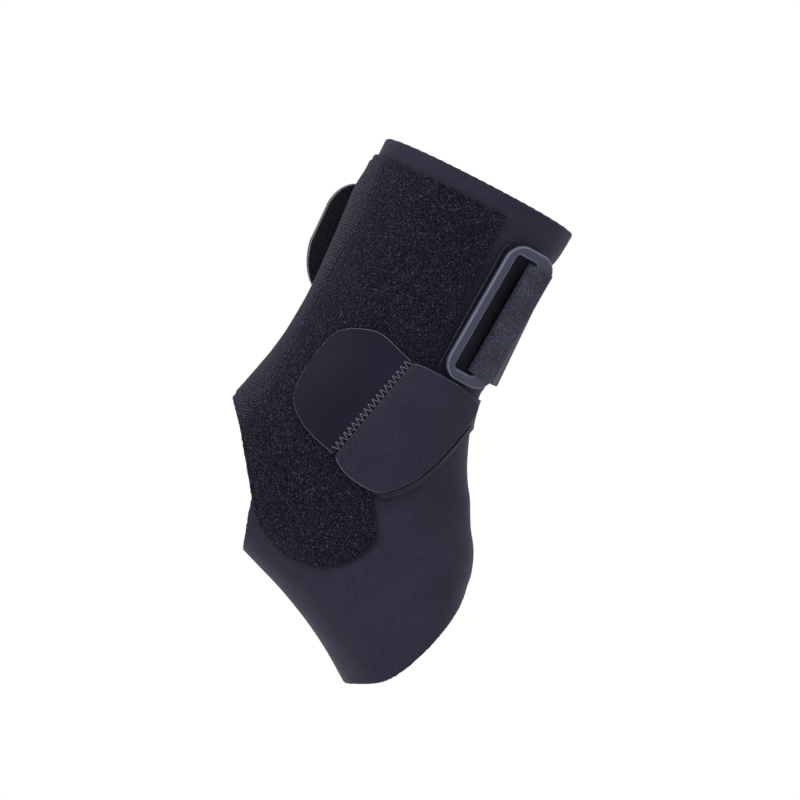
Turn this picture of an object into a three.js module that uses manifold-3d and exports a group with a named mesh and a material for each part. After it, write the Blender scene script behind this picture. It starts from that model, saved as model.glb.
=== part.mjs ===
// An ankle brace in its worn form: a cloth-faced rubber sleeve, a fuzzy fastening panel, a plastic ring
// with a folded strap, and a lower strap whose end is held by a hook tab. Right-hand fit.
// Millimetres. +Z runs up the shaft, +X towards the toes, -Y is the outer side. The origin is the
// centre of the hollow at ankle height.
import * as THREE from 'three';
import { mergeVertices } from 'three/addons/utils/BufferGeometryUtils.js';
import Module from 'manifold-3d';

const wasm = await Module();
wasm.setup();

// Driving sizes of the sleeve
const rimHeight = 126;
const collarDepth = 95;
const collarWidth = 88;
const soleDrop = 100;
const footReach = 79;
const footWidth = 80;
const sleeveWall = 3;
const sectionPower = 2.25;

// Fastening panel
const panelThickness = 2.5;
const panelBelowRim = 9;
const panelFrontX = 20.5;
const lobeRadius = 31;
const lobeX = 1.5;
const lobeZ = -29.5;

// Ring and its tape
const ringHeight = 67;
const ringWidth = 26.5;
const ringThickness = 3;
const ringBar = 5;
const ringFrontBar = 10;
const ringCorner = 9;
const ringStandoff = 1.55;
const slotCorner = 1.2;
const ringTurn = THREE.MathUtils.degToRad(32);
const ringBeyondPanel = 2.5;
const ringOverLeaf = 1.1;
const tapeThickness = 1.2;
const tapeWidth = 12;

// Upper strap
const strapSlack = 1.25;
const strapThickness = 1.6;
const tabThickness = 1.6;
const tabFree = 26;
const tabRise = 3;
const tabCorner = 21;

// Lower strap
const leafThickness = 2.5;
const underThickness = 2.3;
const underBeyondPanel = 3.4;
const leafHeightShare = 0.335;
const hookThickness = 1.5;

// Fits
const clearance = 0.3;
const seamGap = 0.4;

// Places and widths that follow from those
const ringX = panelFrontX + ringBeyondPanel + (ringWidth / 2) * Math.cos(ringTurn);
const ringZ = leafHeightShare * rimHeight + ringOverLeaf + ringHeight / 2;
const strapWidth = ringHeight - 2 * ringBar - 2 * strapSlack;
const underBackX = panelFrontX + underBeyondPanel;

// Layers, as heights over the sleeve's outer face
const panelTop = clearance + panelThickness;
const overPanel = panelTop + clearance;

// Fineness of the faceted form
const formRows = 36;
const turnSteps = 32;
const strapRows = 5;

// Sections of the shaft, from above the rim down: height as a share of rimHeight, back and front as
// shares of collarDepth, and half width as a share of collarWidth
const shaftSections = [
  { height: 1.10, back: -0.494, front: 0.512, half: 0.510 },
  { height: 1.00, back: -0.491, front: 0.504, half: 0.500 },
  { height: 0.88, back: -0.488, front: 0.488, half: 0.490 },
  { height: 0.79, back: -0.494, front: 0.435, half: 0.472 },
  { height: 0.61, back: -0.476, front: 0.440, half: 0.428 },
  { height: 0.40, back: -0.462, front: 0.464, half: 0.392 },
];

// Sections of the ankle and foot: X as shares of footReach, Z as shares of soleDrop, and half width
// as a share of footWidth
const footSections = [
  { backX: -0.568, backZ: 0.290, frontX: 0.555, frontZ: 0.420, half: 0.432 },
  { backX: -0.612, backZ: 0.100, frontX: 0.588, frontZ: 0.290, half: 0.462 },
  { backX: -0.680, backZ: -0.115, frontX: 0.650, frontZ: 0.160, half: 0.455 },
  { backX: -0.730, backZ: -0.370, frontX: 0.715, frontZ: 0.060, half: 0.430 },
  { backX: -0.580, backZ: -0.600, frontX: 0.777, frontZ: -0.012, half: 0.418 },
  { backX: -0.252, backZ: -0.676, frontX: 0.850, frontZ: -0.115, half: 0.428 },
  { backX: 0.120, backZ: -0.780, frontX: 0.925, frontZ: -0.205, half: 0.455 },
  { backX: 0.400, backZ: -0.890, frontX: 0.975, frontZ: -0.300, half: 0.485 },
  { backX: 0.623, backZ: -1.003, frontX: 1.000, frontZ: -0.402, half: 0.502 },
  { backX: 0.800, backZ: -1.100, frontX: 1.100, frontZ: -0.620, half: 0.505 },
];

const backCurve = new THREE.CatmullRomCurve3([
  ...shaftSections.map((s) => new THREE.Vector3(s.back * collarDepth, 0, s.height * rimHeight)),
  ...footSections.map((s) => new THREE.Vector3(s.backX * footReach, 0, s.backZ * soleDrop)),
], false, 'catmullrom', 0.5);
const frontCurve = new THREE.CatmullRomCurve3([
  ...shaftSections.map((s) => new THREE.Vector3(s.front * collarDepth, 0, s.height * rimHeight)),
  ...footSections.map((s) => new THREE.Vector3(s.frontX * footReach, 0, s.frontZ * soleDrop)),
], false, 'catmullrom', 0.5);
const widthCurve = new THREE.CatmullRomCurve3([
  ...shaftSections.map((s, i) => new THREE.Vector3(s.half * collarWidth, i, 0)),
  ...footSections.map((s, i) => new THREE.Vector3(s.half * footWidth, i + shaftSections.length, 0)),
], false, 'catmullrom', 0.5);

// A signed power keeps the quarter that a rounded-square section's point lies in
const signedPower = (value, power) => Math.sign(value) * Math.abs(value) ** power;

// The point of the sleeve's form at share t of its run and turn angle round it (0 at the front,
// positive towards +Y), raised by lift over the outer face
function formPoint(t, turn, lift) {
  const back = backCurve.getPoint(t);
  const front = frontCurve.getPoint(t);
  const centre = back.clone().add(front).multiplyScalar(0.5);
  const half = front.clone().sub(back).multiplyScalar(0.5);
  const depth = half.length();
  const along = signedPower(Math.cos(turn), 2 / sectionPower) * (depth + lift);
  const across = signedPower(Math.sin(turn), 2 / sectionPower) * (widthCurve.getPoint(t).x + lift);
  const point = centre.add(half.multiplyScalar(along / depth));
  point.y += across;
  return point;
}

// The point of the form at a given height on the shaft
function shaftPoint(height, turn, lift) {
  let low = 0;
  let high = 0.55;
  for (let i = 0; i < 24; i += 1) {
    const middle = (low + high) / 2;
    if (formPoint(middle, turn, lift).z > height) low = middle;
    else high = middle;
  }
  return formPoint(low, turn, lift);
}

// A closed mesh from a grid of points: rings[i][j] closes round in j, and both ends are capped
function ringedGeometry(rings) {
  const count = rings[0].length;
  const positions = rings.flat().flatMap((p) => [p.x, p.y, p.z]);
  const index = [];
  for (let i = 0; i + 1 < rings.length; i += 1) {
    for (let j = 0; j < count; j += 1) {
      const a = i * count + j;
      const b = i * count + ((j + 1) % count);
      index.push(a, a + count, b, b, a + count, b + count);
    }
  }
  const geometry = new THREE.BufferGeometry();
  for (const [ring, flip] of [[0, false], [rings.length - 1, true]]) {
    const outline = rings[ring];
    const middle = new THREE.Vector3();
    outline.forEach((p) => middle.addScaledVector(p, 1 / count));
    const hub = positions.length / 3;
    positions.push(middle.x, middle.y, middle.z);
    for (let j = 0; j < count; j += 1) {
      const a = ring * count + j;
      const b = ring * count + ((j + 1) % count);
      if (flip) index.push(hub, b, a);
      else index.push(hub, a, b);
    }
  }
  geometry.setAttribute('position', new THREE.Float32BufferAttribute(positions, 3));
  geometry.setIndex(index);
  return geometry;
}

function solidOf(geometry) {
  geometry.deleteAttribute('normal');
  geometry.deleteAttribute('uv');
  const merged = mergeVertices(geometry, 1e-4);
  const solid = new wasm.Manifold(new wasm.Mesh({
    numProp: 3,
    vertProperties: new Float32Array(merged.getAttribute('position').array),
    triVerts: new Uint32Array(merged.getIndex().array),
  }));
  return solid;
}

// The whole form, raised by lift and solid inside
function formSolid(lift) {
  const rings = [];
  for (let i = 0; i <= formRows; i += 1) {
    const ring = [];
    for (let j = 0; j < turnSteps; j += 1) {
      ring.push(formPoint(i / formRows, (j / turnSteps) * 2 * Math.PI, lift));
    }
    rings.push(ring);
  }
  return solidOf(ringedGeometry(rings));
}

const layer = (low, high) => formSolid(high).subtract(formSolid(low));

// A prism across the brace: an outline in X and Z, from y = from to y = to
function prism(outline, from, to) {
  const shape = new THREE.Shape(outline.map(([x, z]) => new THREE.Vector2(x, z)));
  const geometry = new THREE.ExtrudeGeometry(shape, { depth: to - from, bevelEnabled: false });
  geometry.rotateX(Math.PI / 2);
  geometry.translate(0, to, 0);
  return solidOf(geometry);
}

// A smooth run of points through a few chosen ones
function smooth(points, steps) {
  const curve = new THREE.SplineCurve(points.map(([x, z]) => new THREE.Vector2(x, z)));
  return curve.getPoints(steps).map((p) => [p.x, p.y]);
}

const across = collarWidth;
const wide = 2 * collarDepth;

// What the shaft, heel and foot openings take away
const aboveRim = prism([[-wide, rimHeight], [wide, rimHeight], [wide, 2 * rimHeight],
  [-wide, 2 * rimHeight]], -across, across);

// The heel opening's edge, from the back of the shaft to the sole: shares of footReach and soleDrop
const heelEdge = [
  { x: -0.690, z: -0.105 },
  { x: -0.583, z: -0.187 },
  { x: -0.456, z: -0.313 },
  { x: -0.334, z: -0.440 },
  { x: -0.252, z: -0.675 },
].map(({ x, z }) => [x * footReach, z * soleDrop]);
const heelOpening = prism([[-wide, heelEdge[0][1] + 3], [heelEdge[0][0] - 4, heelEdge[0][1] + 3],
  ...smooth(heelEdge.slice(0, 4), 10), heelEdge[4],
  [heelEdge[4][0] - 4, -1.2 * soleDrop], [-wide, -1.2 * soleDrop]], -across, across);

// The foot opening's edge, from the sole to the instep: shares of footReach and soleDrop
const footEdge = [
  { x: 0.560, z: -1.090 },
  { x: 0.623, z: -1.003 },
  { x: 0.805, z: -0.888 },
  { x: 0.916, z: -0.716 },
  { x: 0.985, z: -0.534 },
  { x: 1.005, z: -0.402 },
  { x: 1.000, z: -0.250 },
].map(({ x, z }) => [x * footReach, z * soleDrop]);
const footOpening = prism([...smooth(footEdge, 20), [wide, footEdge[6][1]],
  [wide, -2 * soleDrop], [footEdge[0][0], -2 * soleDrop]], -across, across);

const openEnds = (solid) => solid.subtract(aboveRim).subtract(heelOpening).subtract(footOpening);

// The fastening panel: straight top and front edges, and a round lobe below
function panelOutline() {
  const top = rimHeight - panelBelowRim;
  const lobe = [];
  const lobeSteps = 16;
  const lobeStart = THREE.MathUtils.degToRad(12);
  const lobeSweep = THREE.MathUtils.degToRad(164);
  for (let i = 0; i <= lobeSteps; i += 1) {
    const angle = lobeStart - (i / lobeSteps) * lobeSweep;
    lobe.push([lobeX + lobeRadius * Math.cos(angle), lobeZ + lobeRadius * Math.sin(angle)]);
  }
  const waist = [panelFrontX + 1.2, lobeZ + 0.37 * lobeRadius];
  return [[-wide, top], [panelFrontX - 2.5, top], [panelFrontX, ringZ - ringHeight / 2], waist,
    ...lobe.slice(2), [-wide, lobe[lobeSteps][1]]];
}

// Lower strap, seen from the outer side: X as shares of footReach and Z as shares of rimHeight
const seamTop = [0.133, 0.329];
const seamFoot = [-0.021, -0.082];
const hookOutline = [seamTop, [0.022, 0.348], [-0.100, 0.374], [-0.214, 0.353], [-0.315, 0.320],
  [-0.362, 0.261], [-0.400, 0.128], [-0.381, 0.034], [-0.344, 0.001], [-0.262, -0.040],
  [-0.142, -0.066], seamFoot];
const leafTop = [seamTop, [0.224, leafHeightShare], [0.349, leafHeightShare], [0.470, 0.329], [0.568, 0.306]];
const leafFoot = [[0.582, 0.298], [0.586, 0.254], [0.560, 0.169], [0.519, 0.071], [0.467, -0.013],
  [0.404, -0.070], [0.329, -0.119], [0.258, -0.134], [0.173, -0.133], [0.061, -0.121], seamFoot];
const sized = (rows) => rows.map(([x, z]) => [x * footReach, z * rimHeight]);

// The under strap shows past the leaf's lower edge, crosses the front and ends on the inner side
const underOuter = [[0.480, 0.330], [0.760, 0.314], [0.760, 0.200], [0.617, 0.200],
  [0.592, 0.150], [0.551, 0.055], [0.500, -0.030], [0.430, -0.090], [0.345, -0.140]];
const underInner = [[0.480, 0.330], [0.760, 0.314], [0.760, 0.200], [0.617, 0.200], [0.560, 0.180]];
const underOutline = (topShare, rows, footShare) => [
  [underBackX, topShare * rimHeight], ...sized(rows), [underBackX, footShare * rimHeight]];

// The ring lies in a plane of its own against the outer front of the shaft
const ringFrame = new THREE.Group();
ringFrame.rotation.order = 'ZXY';

// The y of the outer side's face at a given x and height
function outerFaceY(x, height, lift) {
  let low = -Math.PI / 2;
  let high = 0;
  for (let i = 0; i < 24; i += 1) {
    const middle = (low + high) / 2;
    if (shaftPoint(height, middle, lift).x < x) low = middle;
    else high = middle;
  }
  return shaftPoint(height, low, lift).y;
}

// Its rear bar lies on the tape near both ends
const seatSpan = ringHeight - 2 * ringCorner;
const rearBar = (ringWidth - ringBar) / 2;
const onTape = clearance + tapeThickness + ringStandoff;
const seatTop = outerFaceY(ringX - rearBar * Math.cos(ringTurn), ringZ + seatSpan / 2, onTape);
const seatFoot = outerFaceY(ringX - rearBar * Math.cos(ringTurn), ringZ - seatSpan / 2, onTape);
const ringLean = Math.atan(((seatFoot - seatTop) * Math.cos(ringTurn)) / seatSpan);
ringFrame.rotation.set(ringLean, 0, ringTurn);
ringFrame.position.set(ringX, (seatTop + seatFoot) / 2 + rearBar * Math.sin(ringTurn), ringZ);
ringFrame.updateMatrix();

// A point in the ring's own plane: along its width, up its height and out from its inner face
const ringPoint = (along, up, out) => new THREE.Vector3(along, -out, up).applyMatrix4(ringFrame.matrix);

function roundedOutline(path, halfWide, halfTall, corner) {
  path.moveTo(-halfWide + corner, -halfTall);
  path.lineTo(halfWide - corner, -halfTall);
  path.absarc(halfWide - corner, -halfTall + corner, corner, -Math.PI / 2, 0);
  path.lineTo(halfWide, halfTall - corner);
  path.absarc(halfWide - corner, halfTall - corner, corner, 0, Math.PI / 2);
  path.lineTo(-halfWide + corner, halfTall);
  path.absarc(-halfWide + corner, halfTall - corner, corner, Math.PI / 2, Math.PI);
  path.lineTo(-halfWide, -halfTall + corner);
  path.absarc(-halfWide + corner, -halfTall + corner, corner, Math.PI, 1.5 * Math.PI);
  return path;
}

function ringGeometry() {
  const bevel = 0.7;
  const shape = roundedOutline(new THREE.Shape(), ringWidth / 2 - bevel, ringHeight / 2 - bevel,
    ringCorner - bevel);
  const slotWide = ringWidth - ringBar - ringFrontBar + 2 * bevel;
  const slotTall = ringHeight - 2 * ringBar + 2 * bevel;
  const slot = roundedOutline(new THREE.Path(), slotWide / 2, slotTall / 2, slotCorner);
  const shift = (ringBar - ringFrontBar) / 2;
  shape.holes.push(new THREE.Path(slot.getPoints(5).map((p) => new THREE.Vector2(p.x + shift, p.y))));
  const geometry = new THREE.ExtrudeGeometry(shape, {
    depth: ringThickness - 2 * bevel, bevelEnabled: true, bevelThickness: bevel, bevelSize: bevel,
    bevelSegments: 2, curveSegments: 6,
  });
  geometry.translate(0, 0, bevel);
  geometry.rotateX(Math.PI / 2);
  return geometry;
}

// A closed band: at(share, level, side) gives its points along its length, over its width and on
// its two faces
function bandGeometry(lengthSteps, widthSteps, at) {
  const rings = [];
  for (let i = 0; i <= lengthSteps; i += 1) {
    const ring = [];
    for (let j = 0; j <= widthSteps; j += 1) ring.push(at(i / lengthSteps, j / widthSteps, 1));
    for (let j = widthSteps; j >= 0; j -= 1) ring.push(at(i / lengthSteps, j / widthSteps, 0));
    rings.push(ring);
  }
  const geometry = ringedGeometry(rings);
  return geometry;
}

// Upper strap: an inner layer sewn to the inner front of the sleeve, a fold through the ring's slot
// round its front bar, and an outer layer over the front and round the inner side to the tab
const strapLow = ringZ - strapWidth / 2;
const degrees = THREE.MathUtils.degToRad;
const sewnTurn = degrees(50);
const bridgeTurn = degrees(-16);
const tabTurn = degrees(118);
const leaveTurn = degrees(139);

function foldPoints() {
  const points = [];
  const barEdge = ringWidth / 2 - ringFrontBar;
  const middle = ringThickness / 2;
  const radius = middle + clearance;
  for (const along of [ringWidth / 2 - 1, barEdge + 2]) {
    points.push([along, -clearance, -clearance - strapThickness]);
  }
  const foldSteps = 6;
  for (let i = 0; i <= foldSteps; i += 1) {
    const angle = -Math.PI / 2 - (i / foldSteps) * Math.PI;
    const face = (r) => [barEdge + r * Math.cos(angle), middle + r * Math.sin(angle)];
    points.push({ near: face(radius), far: face(radius + strapThickness) });
  }
  const top = ringThickness + clearance;
  for (const along of [barEdge + 2, ringWidth / 2 + clearance]) {
    points.push([along, top, top + strapThickness]);
  }
  return points.map((p) => (Array.isArray(p) ? { near: [p[0], p[1]], far: [p[0], p[2]] } : p));
}

// Each stop of the strap's run gives, for a height, the point on its near face (the one that faces
// the bar in the fold) and on its far face
function strapStops() {
  const stops = [];
  const onForm = (turn, near, far) => (height) => [
    shaftPoint(height, turn, near), shaftPoint(height, turn, far)];
  const inRing = ({ near, far }) => (height) => [
    ringPoint(near[0], height - ringZ, near[1]), ringPoint(far[0], height - ringZ, far[1])];
  const innerStops = 8;
  for (let i = 0; i <= innerStops; i += 1) {
    const turn = sewnTurn + (i / innerStops) * (bridgeTurn - sewnTurn);
    stops.push(onForm(turn, clearance + strapThickness, clearance));
  }
  stops.push(...foldPoints().map(inRing));
  const outerStops = 18;
  const seam = seamGap / (collarWidth / 2);
  for (let i = 0; i <= outerStops; i += 1) {
    const turn = bridgeTurn + (i / outerStops) * (tabTurn - seam - bridgeTurn);
    stops.push(onForm(turn, overPanel, overPanel + strapThickness));
  }
  return stops;
}

const strapRun = strapStops();
const upperStrapGeometry = () => bandGeometry(strapRun.length - 1, strapRows, (share, level, side) => {
  const stop = strapRun[Math.round(share * (strapRun.length - 1))];
  return stop(strapLow + level * strapWidth)[side];
});

// The hook tab carries on from the strap, leaves the curve of the shaft and stands off it; its end
// has round corners
function upperTabGeometry() {
  const wrapStops = 4;
  const freeStops = 10;
  const wrapShare = wrapStops / (wrapStops + freeStops);
  return bandGeometry(wrapStops + freeStops, strapRows + 3, (share, level, side) => {
    const lift = overPanel + side * tabThickness;
    const free = Math.max(0, (share - wrapShare) / (1 - wrapShare));
    const left = (1 - free ** 0.7) * tabFree;
    const inset = Math.max(0, tabCorner - left);
    const half = strapWidth / 2 - tabCorner + Math.sqrt(tabCorner ** 2 - inset ** 2);
    const height = ringZ + tabRise * free + (2 * level - 1) * half;
    const turn = tabTurn + Math.min(1, share / wrapShare) * (leaveTurn - tabTurn);
    const point = shaftPoint(height, turn, lift);
    if (free > 0) {
      const ahead = shaftPoint(height, leaveTurn + 0.02, overPanel)
        .sub(shaftPoint(height, leaveTurn, overPanel)).normalize();
      point.addScaledVector(ahead, free ** 0.7 * tabFree);
    }
    return point;
  });
}

const materials = {
  neoprene: { color: 0x2d2938, roughness: 0.75, metalness: 0 },
  loop: { color: 0x1c1a1f, roughness: 0.95, metalness: 0 },
  hook: { color: 0x24282c, roughness: 0.6, metalness: 0 },
  webbing: { color: 0x3c424a, roughness: 0.7, metalness: 0 },
  plastic: { color: 0x464c56, roughness: 0.4, metalness: 0 },
};

const group = new THREE.Group();

function place(name, geometry, finish) {
  const mesh = new THREE.Mesh(geometry, new THREE.MeshStandardMaterial(materials[finish]));
  mesh.name = name;
  group.add(mesh);
  return mesh;
}

function placeSolid(name, solid, finish) {
  const { vertProperties, triVerts } = solid.getMesh();
  const geometry = new THREE.BufferGeometry();
  geometry.setAttribute('position', new THREE.BufferAttribute(new Float32Array(vertProperties), 3));
  geometry.setIndex(new THREE.BufferAttribute(new Uint32Array(triVerts), 1));
  return place(name, geometry, finish);
}

// Overlays on the outer side lie between y = -across and 0, inner ones between 0 and across
const outerLayer = (low, high, outline) => layer(low, high).intersect(prism(outline, -across, 0));

placeSolid('sleeve', openEnds(layer(-sleeveWall, 0)), 'neoprene');
placeSolid('loop_panel', openEnds(layer(clearance, panelTop)
  .intersect(prism(panelOutline(), -across, across))), 'loop');

const tapeBack = panelFrontX + clearance;
placeSolid('ring_tape', outerLayer(clearance, clearance + tapeThickness, [
  [tapeBack, ringZ - ringHeight / 2 + 1], [tapeBack + tapeWidth, ringZ - ringHeight / 2 + 1],
  [tapeBack + tapeWidth, ringZ + ringHeight / 2 - 1], [tapeBack, ringZ + ringHeight / 2 - 1],
]), 'webbing');

const ring = place('ring', ringGeometry(), 'plastic');
ring.rotation.copy(ringFrame.rotation);
ring.position.copy(ringFrame.position);

place('upper_strap', upperStrapGeometry(), 'webbing');
place('upper_hook_tab', upperTabGeometry(), 'hook');

const underLayer = layer(clearance, clearance + underThickness);
placeSolid('lower_strap', underLayer.intersect(
  prism(underOutline(leafHeightShare, underOuter, -0.143), -across, 0.5)
    .add(prism(underOutline(0.345, underInner, 0.085), 0, across)),
), 'neoprene');
placeSolid('strap_end', outerLayer(overPanel, overPanel + leafThickness,
  [sized([seamTop])[0], ...smooth(sized(leafTop), 10).slice(1), ...smooth(sized(leafFoot), 24)]),
'neoprene');
placeSolid('hook_tab', outerLayer(overPanel, overPanel + hookThickness,
  smooth(sized(hookOutline), 30)), 'hook');

export default group;
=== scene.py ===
"""An ankle brace in its worn form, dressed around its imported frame.

Lengths inside the classes are millimetres. Meshes are written in metres, in the frame's own axes:
+Z up the shaft, +X towards the toes, -Y to the outer side.
"""

import logging
import math
from dataclasses import dataclass
from enum import Enum
from typing import Callable, Sequence

import bpy
import numpy as np
from mathutils import Matrix


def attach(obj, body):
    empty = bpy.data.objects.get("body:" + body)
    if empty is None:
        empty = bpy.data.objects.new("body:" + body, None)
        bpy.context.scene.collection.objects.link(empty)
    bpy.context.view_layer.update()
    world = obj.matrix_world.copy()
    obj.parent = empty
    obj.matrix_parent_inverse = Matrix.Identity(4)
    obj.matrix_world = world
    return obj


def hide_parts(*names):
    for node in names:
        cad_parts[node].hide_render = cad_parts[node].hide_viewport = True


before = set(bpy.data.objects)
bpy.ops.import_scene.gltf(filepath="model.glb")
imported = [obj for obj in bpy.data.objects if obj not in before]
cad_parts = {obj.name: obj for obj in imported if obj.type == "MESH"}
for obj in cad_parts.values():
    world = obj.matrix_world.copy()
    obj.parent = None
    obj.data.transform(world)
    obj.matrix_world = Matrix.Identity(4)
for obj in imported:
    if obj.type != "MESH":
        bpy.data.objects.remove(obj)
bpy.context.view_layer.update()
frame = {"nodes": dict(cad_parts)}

log = logging.getLogger("brace")
MM = 0.001
FULL_TURN = 2 * math.pi

# Millimetres: the gap between neighbours, a reach past the whole brace, the zigzag stitches
CLEARANCE = 0.3
BEYOND = 190
STITCH_PITCH = 1.36
STITCH_RADIUS = 0.27

# Where a cut takes a point that is already there: at an edge, at its rounding, at an inner line
EDGE_SNAP = 0.12
ROUND_SNAP = 0.03
LINE_SNAP = 0.1

# The rows of points that round an edge, as shares of its width
ROUND_ROWS = (0.12, 0.45, 1.0)
WELDS_PER_MM = 2000
Array = np.ndarray
Outline = Sequence[tuple[float, float]]


class Slot(Enum):
    """The record's material slots."""

    NEOPRENE = "neoprene"
    LOOP = "loop"
    HOOK = "hook"
    WEBBING = "webbing"
    PLASTIC = "plastic"


# Shader maths


class Value:
    """A socket that can be used in Python expressions; each operator adds a Math node."""

    def __init__(self, shader: "Shader", socket: bpy.types.NodeSocket) -> None:
        """Keeps the shader and the socket.

        Args:
            shader: the material under construction.
            socket: the output that holds the value.
        """
        self.shader = shader
        self.socket = socket

    def _math(self, operation: str, *inputs: object) -> "Value":
        """Adds a Math node.

        Args:
            operation: the node's operation.
            inputs: its values or sockets, in order.

        Returns:
            The node's result.
        """
        return self.shader.node("ShaderNodeMath", {"operation": operation}, dict(enumerate(inputs)))

    def __add__(self, other: object) -> "Value":
        """Sum."""
        return self._math("ADD", self, other)

    def __radd__(self, other: object) -> "Value":
        """Sum with a number on the left."""
        return self._math("ADD", other, self)

    def __sub__(self, other: object) -> "Value":
        """Difference."""
        return self._math("SUBTRACT", self, other)

    def __rsub__(self, other: object) -> "Value":
        """Difference with a number on the left."""
        return self._math("SUBTRACT", other, self)

    def __mul__(self, other: object) -> "Value":
        """Product."""
        return self._math("MULTIPLY", self, other)

    def __rmul__(self, other: object) -> "Value":
        """Product with a number on the left."""
        return self._math("MULTIPLY", other, self)

    def __pow__(self, other: object) -> "Value":
        """Power."""
        return self._math("POWER", self, other)

    def sine(self) -> "Value":
        """Sine of the value in radians."""
        return self._math("SINE", self)

    def absolute(self) -> "Value":
        """Size without sign."""
        return self._math("ABSOLUTE", self)

    def clamped(self, low: float, high: float) -> "Value":
        """Maps low..high to 0..1 and stays inside.

        Args:
            low: the value that becomes 0.
            high: the value that becomes 1.

        Returns:
            The clamped share.
        """
        return self.shader.node("ShaderNodeMapRange", {"clamp": True},
                                {0: self, 1: low, 2: high, 3: 0.0, 4: 1.0})


class Shader:
    """Builds one material around a Principled shader."""

    def __init__(self, name: str) -> None:
        """Starts an empty node tree.

        Args:
            name: the material's name.
        """
        self.material = bpy.data.materials.new(name)
        self.material.use_nodes = True
        self.tree = self.material.node_tree
        self.tree.nodes.clear()
        self.surface = self.tree.nodes.new("ShaderNodeBsdfPrincipled")
        output = self.tree.nodes.new("ShaderNodeOutputMaterial")
        self.tree.links.new(self.surface.outputs[0], output.inputs[0])

    def node(self, kind: str, settings: dict, inputs: dict, output: object = 0) -> Value:
        """Adds a node: its settings first, then its sockets.

        Args:
            kind: the node's type.
            settings: the node's own attributes.
            inputs: socket name or number to a number, tuple or Value.
            output: the output to return.

        Returns:
            The chosen output.
        """
        made = self.tree.nodes.new(kind)
        for key, value in settings.items():
            setattr(made, key, value)
        for key, value in inputs.items():
            self.feed(made.inputs[key], value)
        return Value(self, made.outputs[output])

    def feed(self, socket: bpy.types.NodeSocket, value: object) -> None:
        """Links a Value to a socket, or sets a constant on it.

        Args:
            socket: the input.
            value: a Value, number or tuple.
        """
        if isinstance(value, Value):
            self.tree.links.new(value.socket, socket)
        else:
            socket.default_value = value

    def set(self, **inputs: object) -> None:
        """Feeds the Principled shader's sockets, with underscores for spaces in their names."""
        for key, value in inputs.items():
            self.feed(self.surface.inputs[key.replace("_", " ")], value)

    def place(self) -> Value:
        """The point on the object, in metres."""
        return self.node("ShaderNodeTexCoord", {}, {}, "Object")

    def cloth_axes(self) -> tuple[Value, Value]:
        """The woven directions.

        Returns:
            Millimetres along the cloth's width and along its length.
        """
        uv = self.node("ShaderNodeUVMap", {"uv_map": "cloth"}, {})
        across = self.node("ShaderNodeSeparateXYZ", {}, {0: uv}, "X")
        return across, Value(self, across.socket.node.outputs["Y"])

    def noise(self, scale: float, detail: float = 2.0, rough: float = 0.5) -> Value:
        """Noise over the object.

        Args:
            scale: repeats in a metre.
            detail: octaves.
            rough: share of the finer octaves.

        Returns:
            The noise, about 0.5.
        """
        return self.node("ShaderNodeTexNoise", {}, {
            "Vector": self.place(), "Scale": scale, "Detail": detail, "Roughness": rough})

    def cells(self, scale: float) -> Value:
        """Distance to scattered points.

        Args:
            scale: repeats in a metre.

        Returns:
            The distance, from 0 at each point.
        """
        return self.node("ShaderNodeTexVoronoi", {"feature": "F1"},
                         {"Vector": self.place(), "Scale": scale}, "Distance")

    def mix(self, share: object, first: object, second: object) -> Value:
        """Mixes two colours.

        Args:
            share: 0 for the first, 1 for the second.
            first: a colour, or a Value that holds one.
            second: a colour, or a Value that holds one.

        Returns:
            The mixed colour.
        """
        first, second = (end if isinstance(end, Value) else (*end, 1.0) for end in (first, second))
        return self.node("ShaderNodeMix", {"data_type": "RGBA"}, {0: share, 6: first, 7: second}, 2)

    def bump(self, height: Value, distance: float, strength: float = 1.0) -> None:
        """Feeds a bump into the surface.

        Args:
            height: the relief, from 0 to 1.
            distance: its depth in metres.
            strength: its share.
        """
        self.set(Normal=self.node("ShaderNodeBump", {}, {
            "Height": height, "Distance": distance, "Strength": strength}))


class Finish:
    """What every finish can do. Its scales are repeats in a metre, and its pitches millimetres."""

    def material(self, name: str) -> bpy.types.Material:
        """Makes the material.

        Args:
            name: its name.

        Returns:
            The material.
        """
        shader = Shader(name)
        self.dress(shader)
        return shader.material

    def dress(self, shader: Shader) -> None:
        """Lays the finish on; each finish has its own."""
        raise NotImplementedError


@dataclass(frozen=True)
class FoamCloth(Finish):
    """Jersey-faced foam rubber: matt charcoal with a fine knit and faint clouding."""

    dark: tuple = (0.0046, 0.0036, 0.0125)
    light: tuple = (0.0215, 0.0170, 0.0345)
    fleck: tuple = (0.040, 0.037, 0.050)
    tint: tuple = (0.62, 0.58, 0.78)
    pitch: float = 0.55
    clouds: float = 60.0
    grains: float = 1450.0
    flecks: float = 420.0

    def dress(self, shader: Shader) -> None:
        """Lays the finish on.

        Args:
            shader: the material under construction.
        """
        across, along = shader.cloth_axes()
        turn = FULL_TURN / self.pitch
        wale = (across * turn).sine().absolute()
        course = ((along + wale * (0.35 * self.pitch)) * turn).sine()
        knit = wale * 0.6 + course * 0.2 + 0.2
        cloud = shader.noise(self.clouds, 3).clamped(0.3, 0.7)
        grain = shader.noise(self.grains, 2, 0.6).clamped(0.38, 0.68)
        tone = cloud * 0.20 + grain * 0.62 + knit * 0.18
        base = shader.mix(tone, self.dark, self.light)
        lint = shader.cells(self.flecks).clamped(0.10, 0.03) * shader.noise(230, 1).clamped(0.60, 0.66)
        shader.set(Base_Color=shader.mix(lint * 0.8, base, self.fleck),
                   Roughness=0.66 + grain * 0.16, Specular_IOR_Level=0.16,
                   Sheen_Weight=0.035, Sheen_Roughness=0.45, Sheen_Tint=(*self.tint, 1.0))
        shader.bump(knit * 0.5 + grain * 0.5, 0.00010, 0.5)


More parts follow.
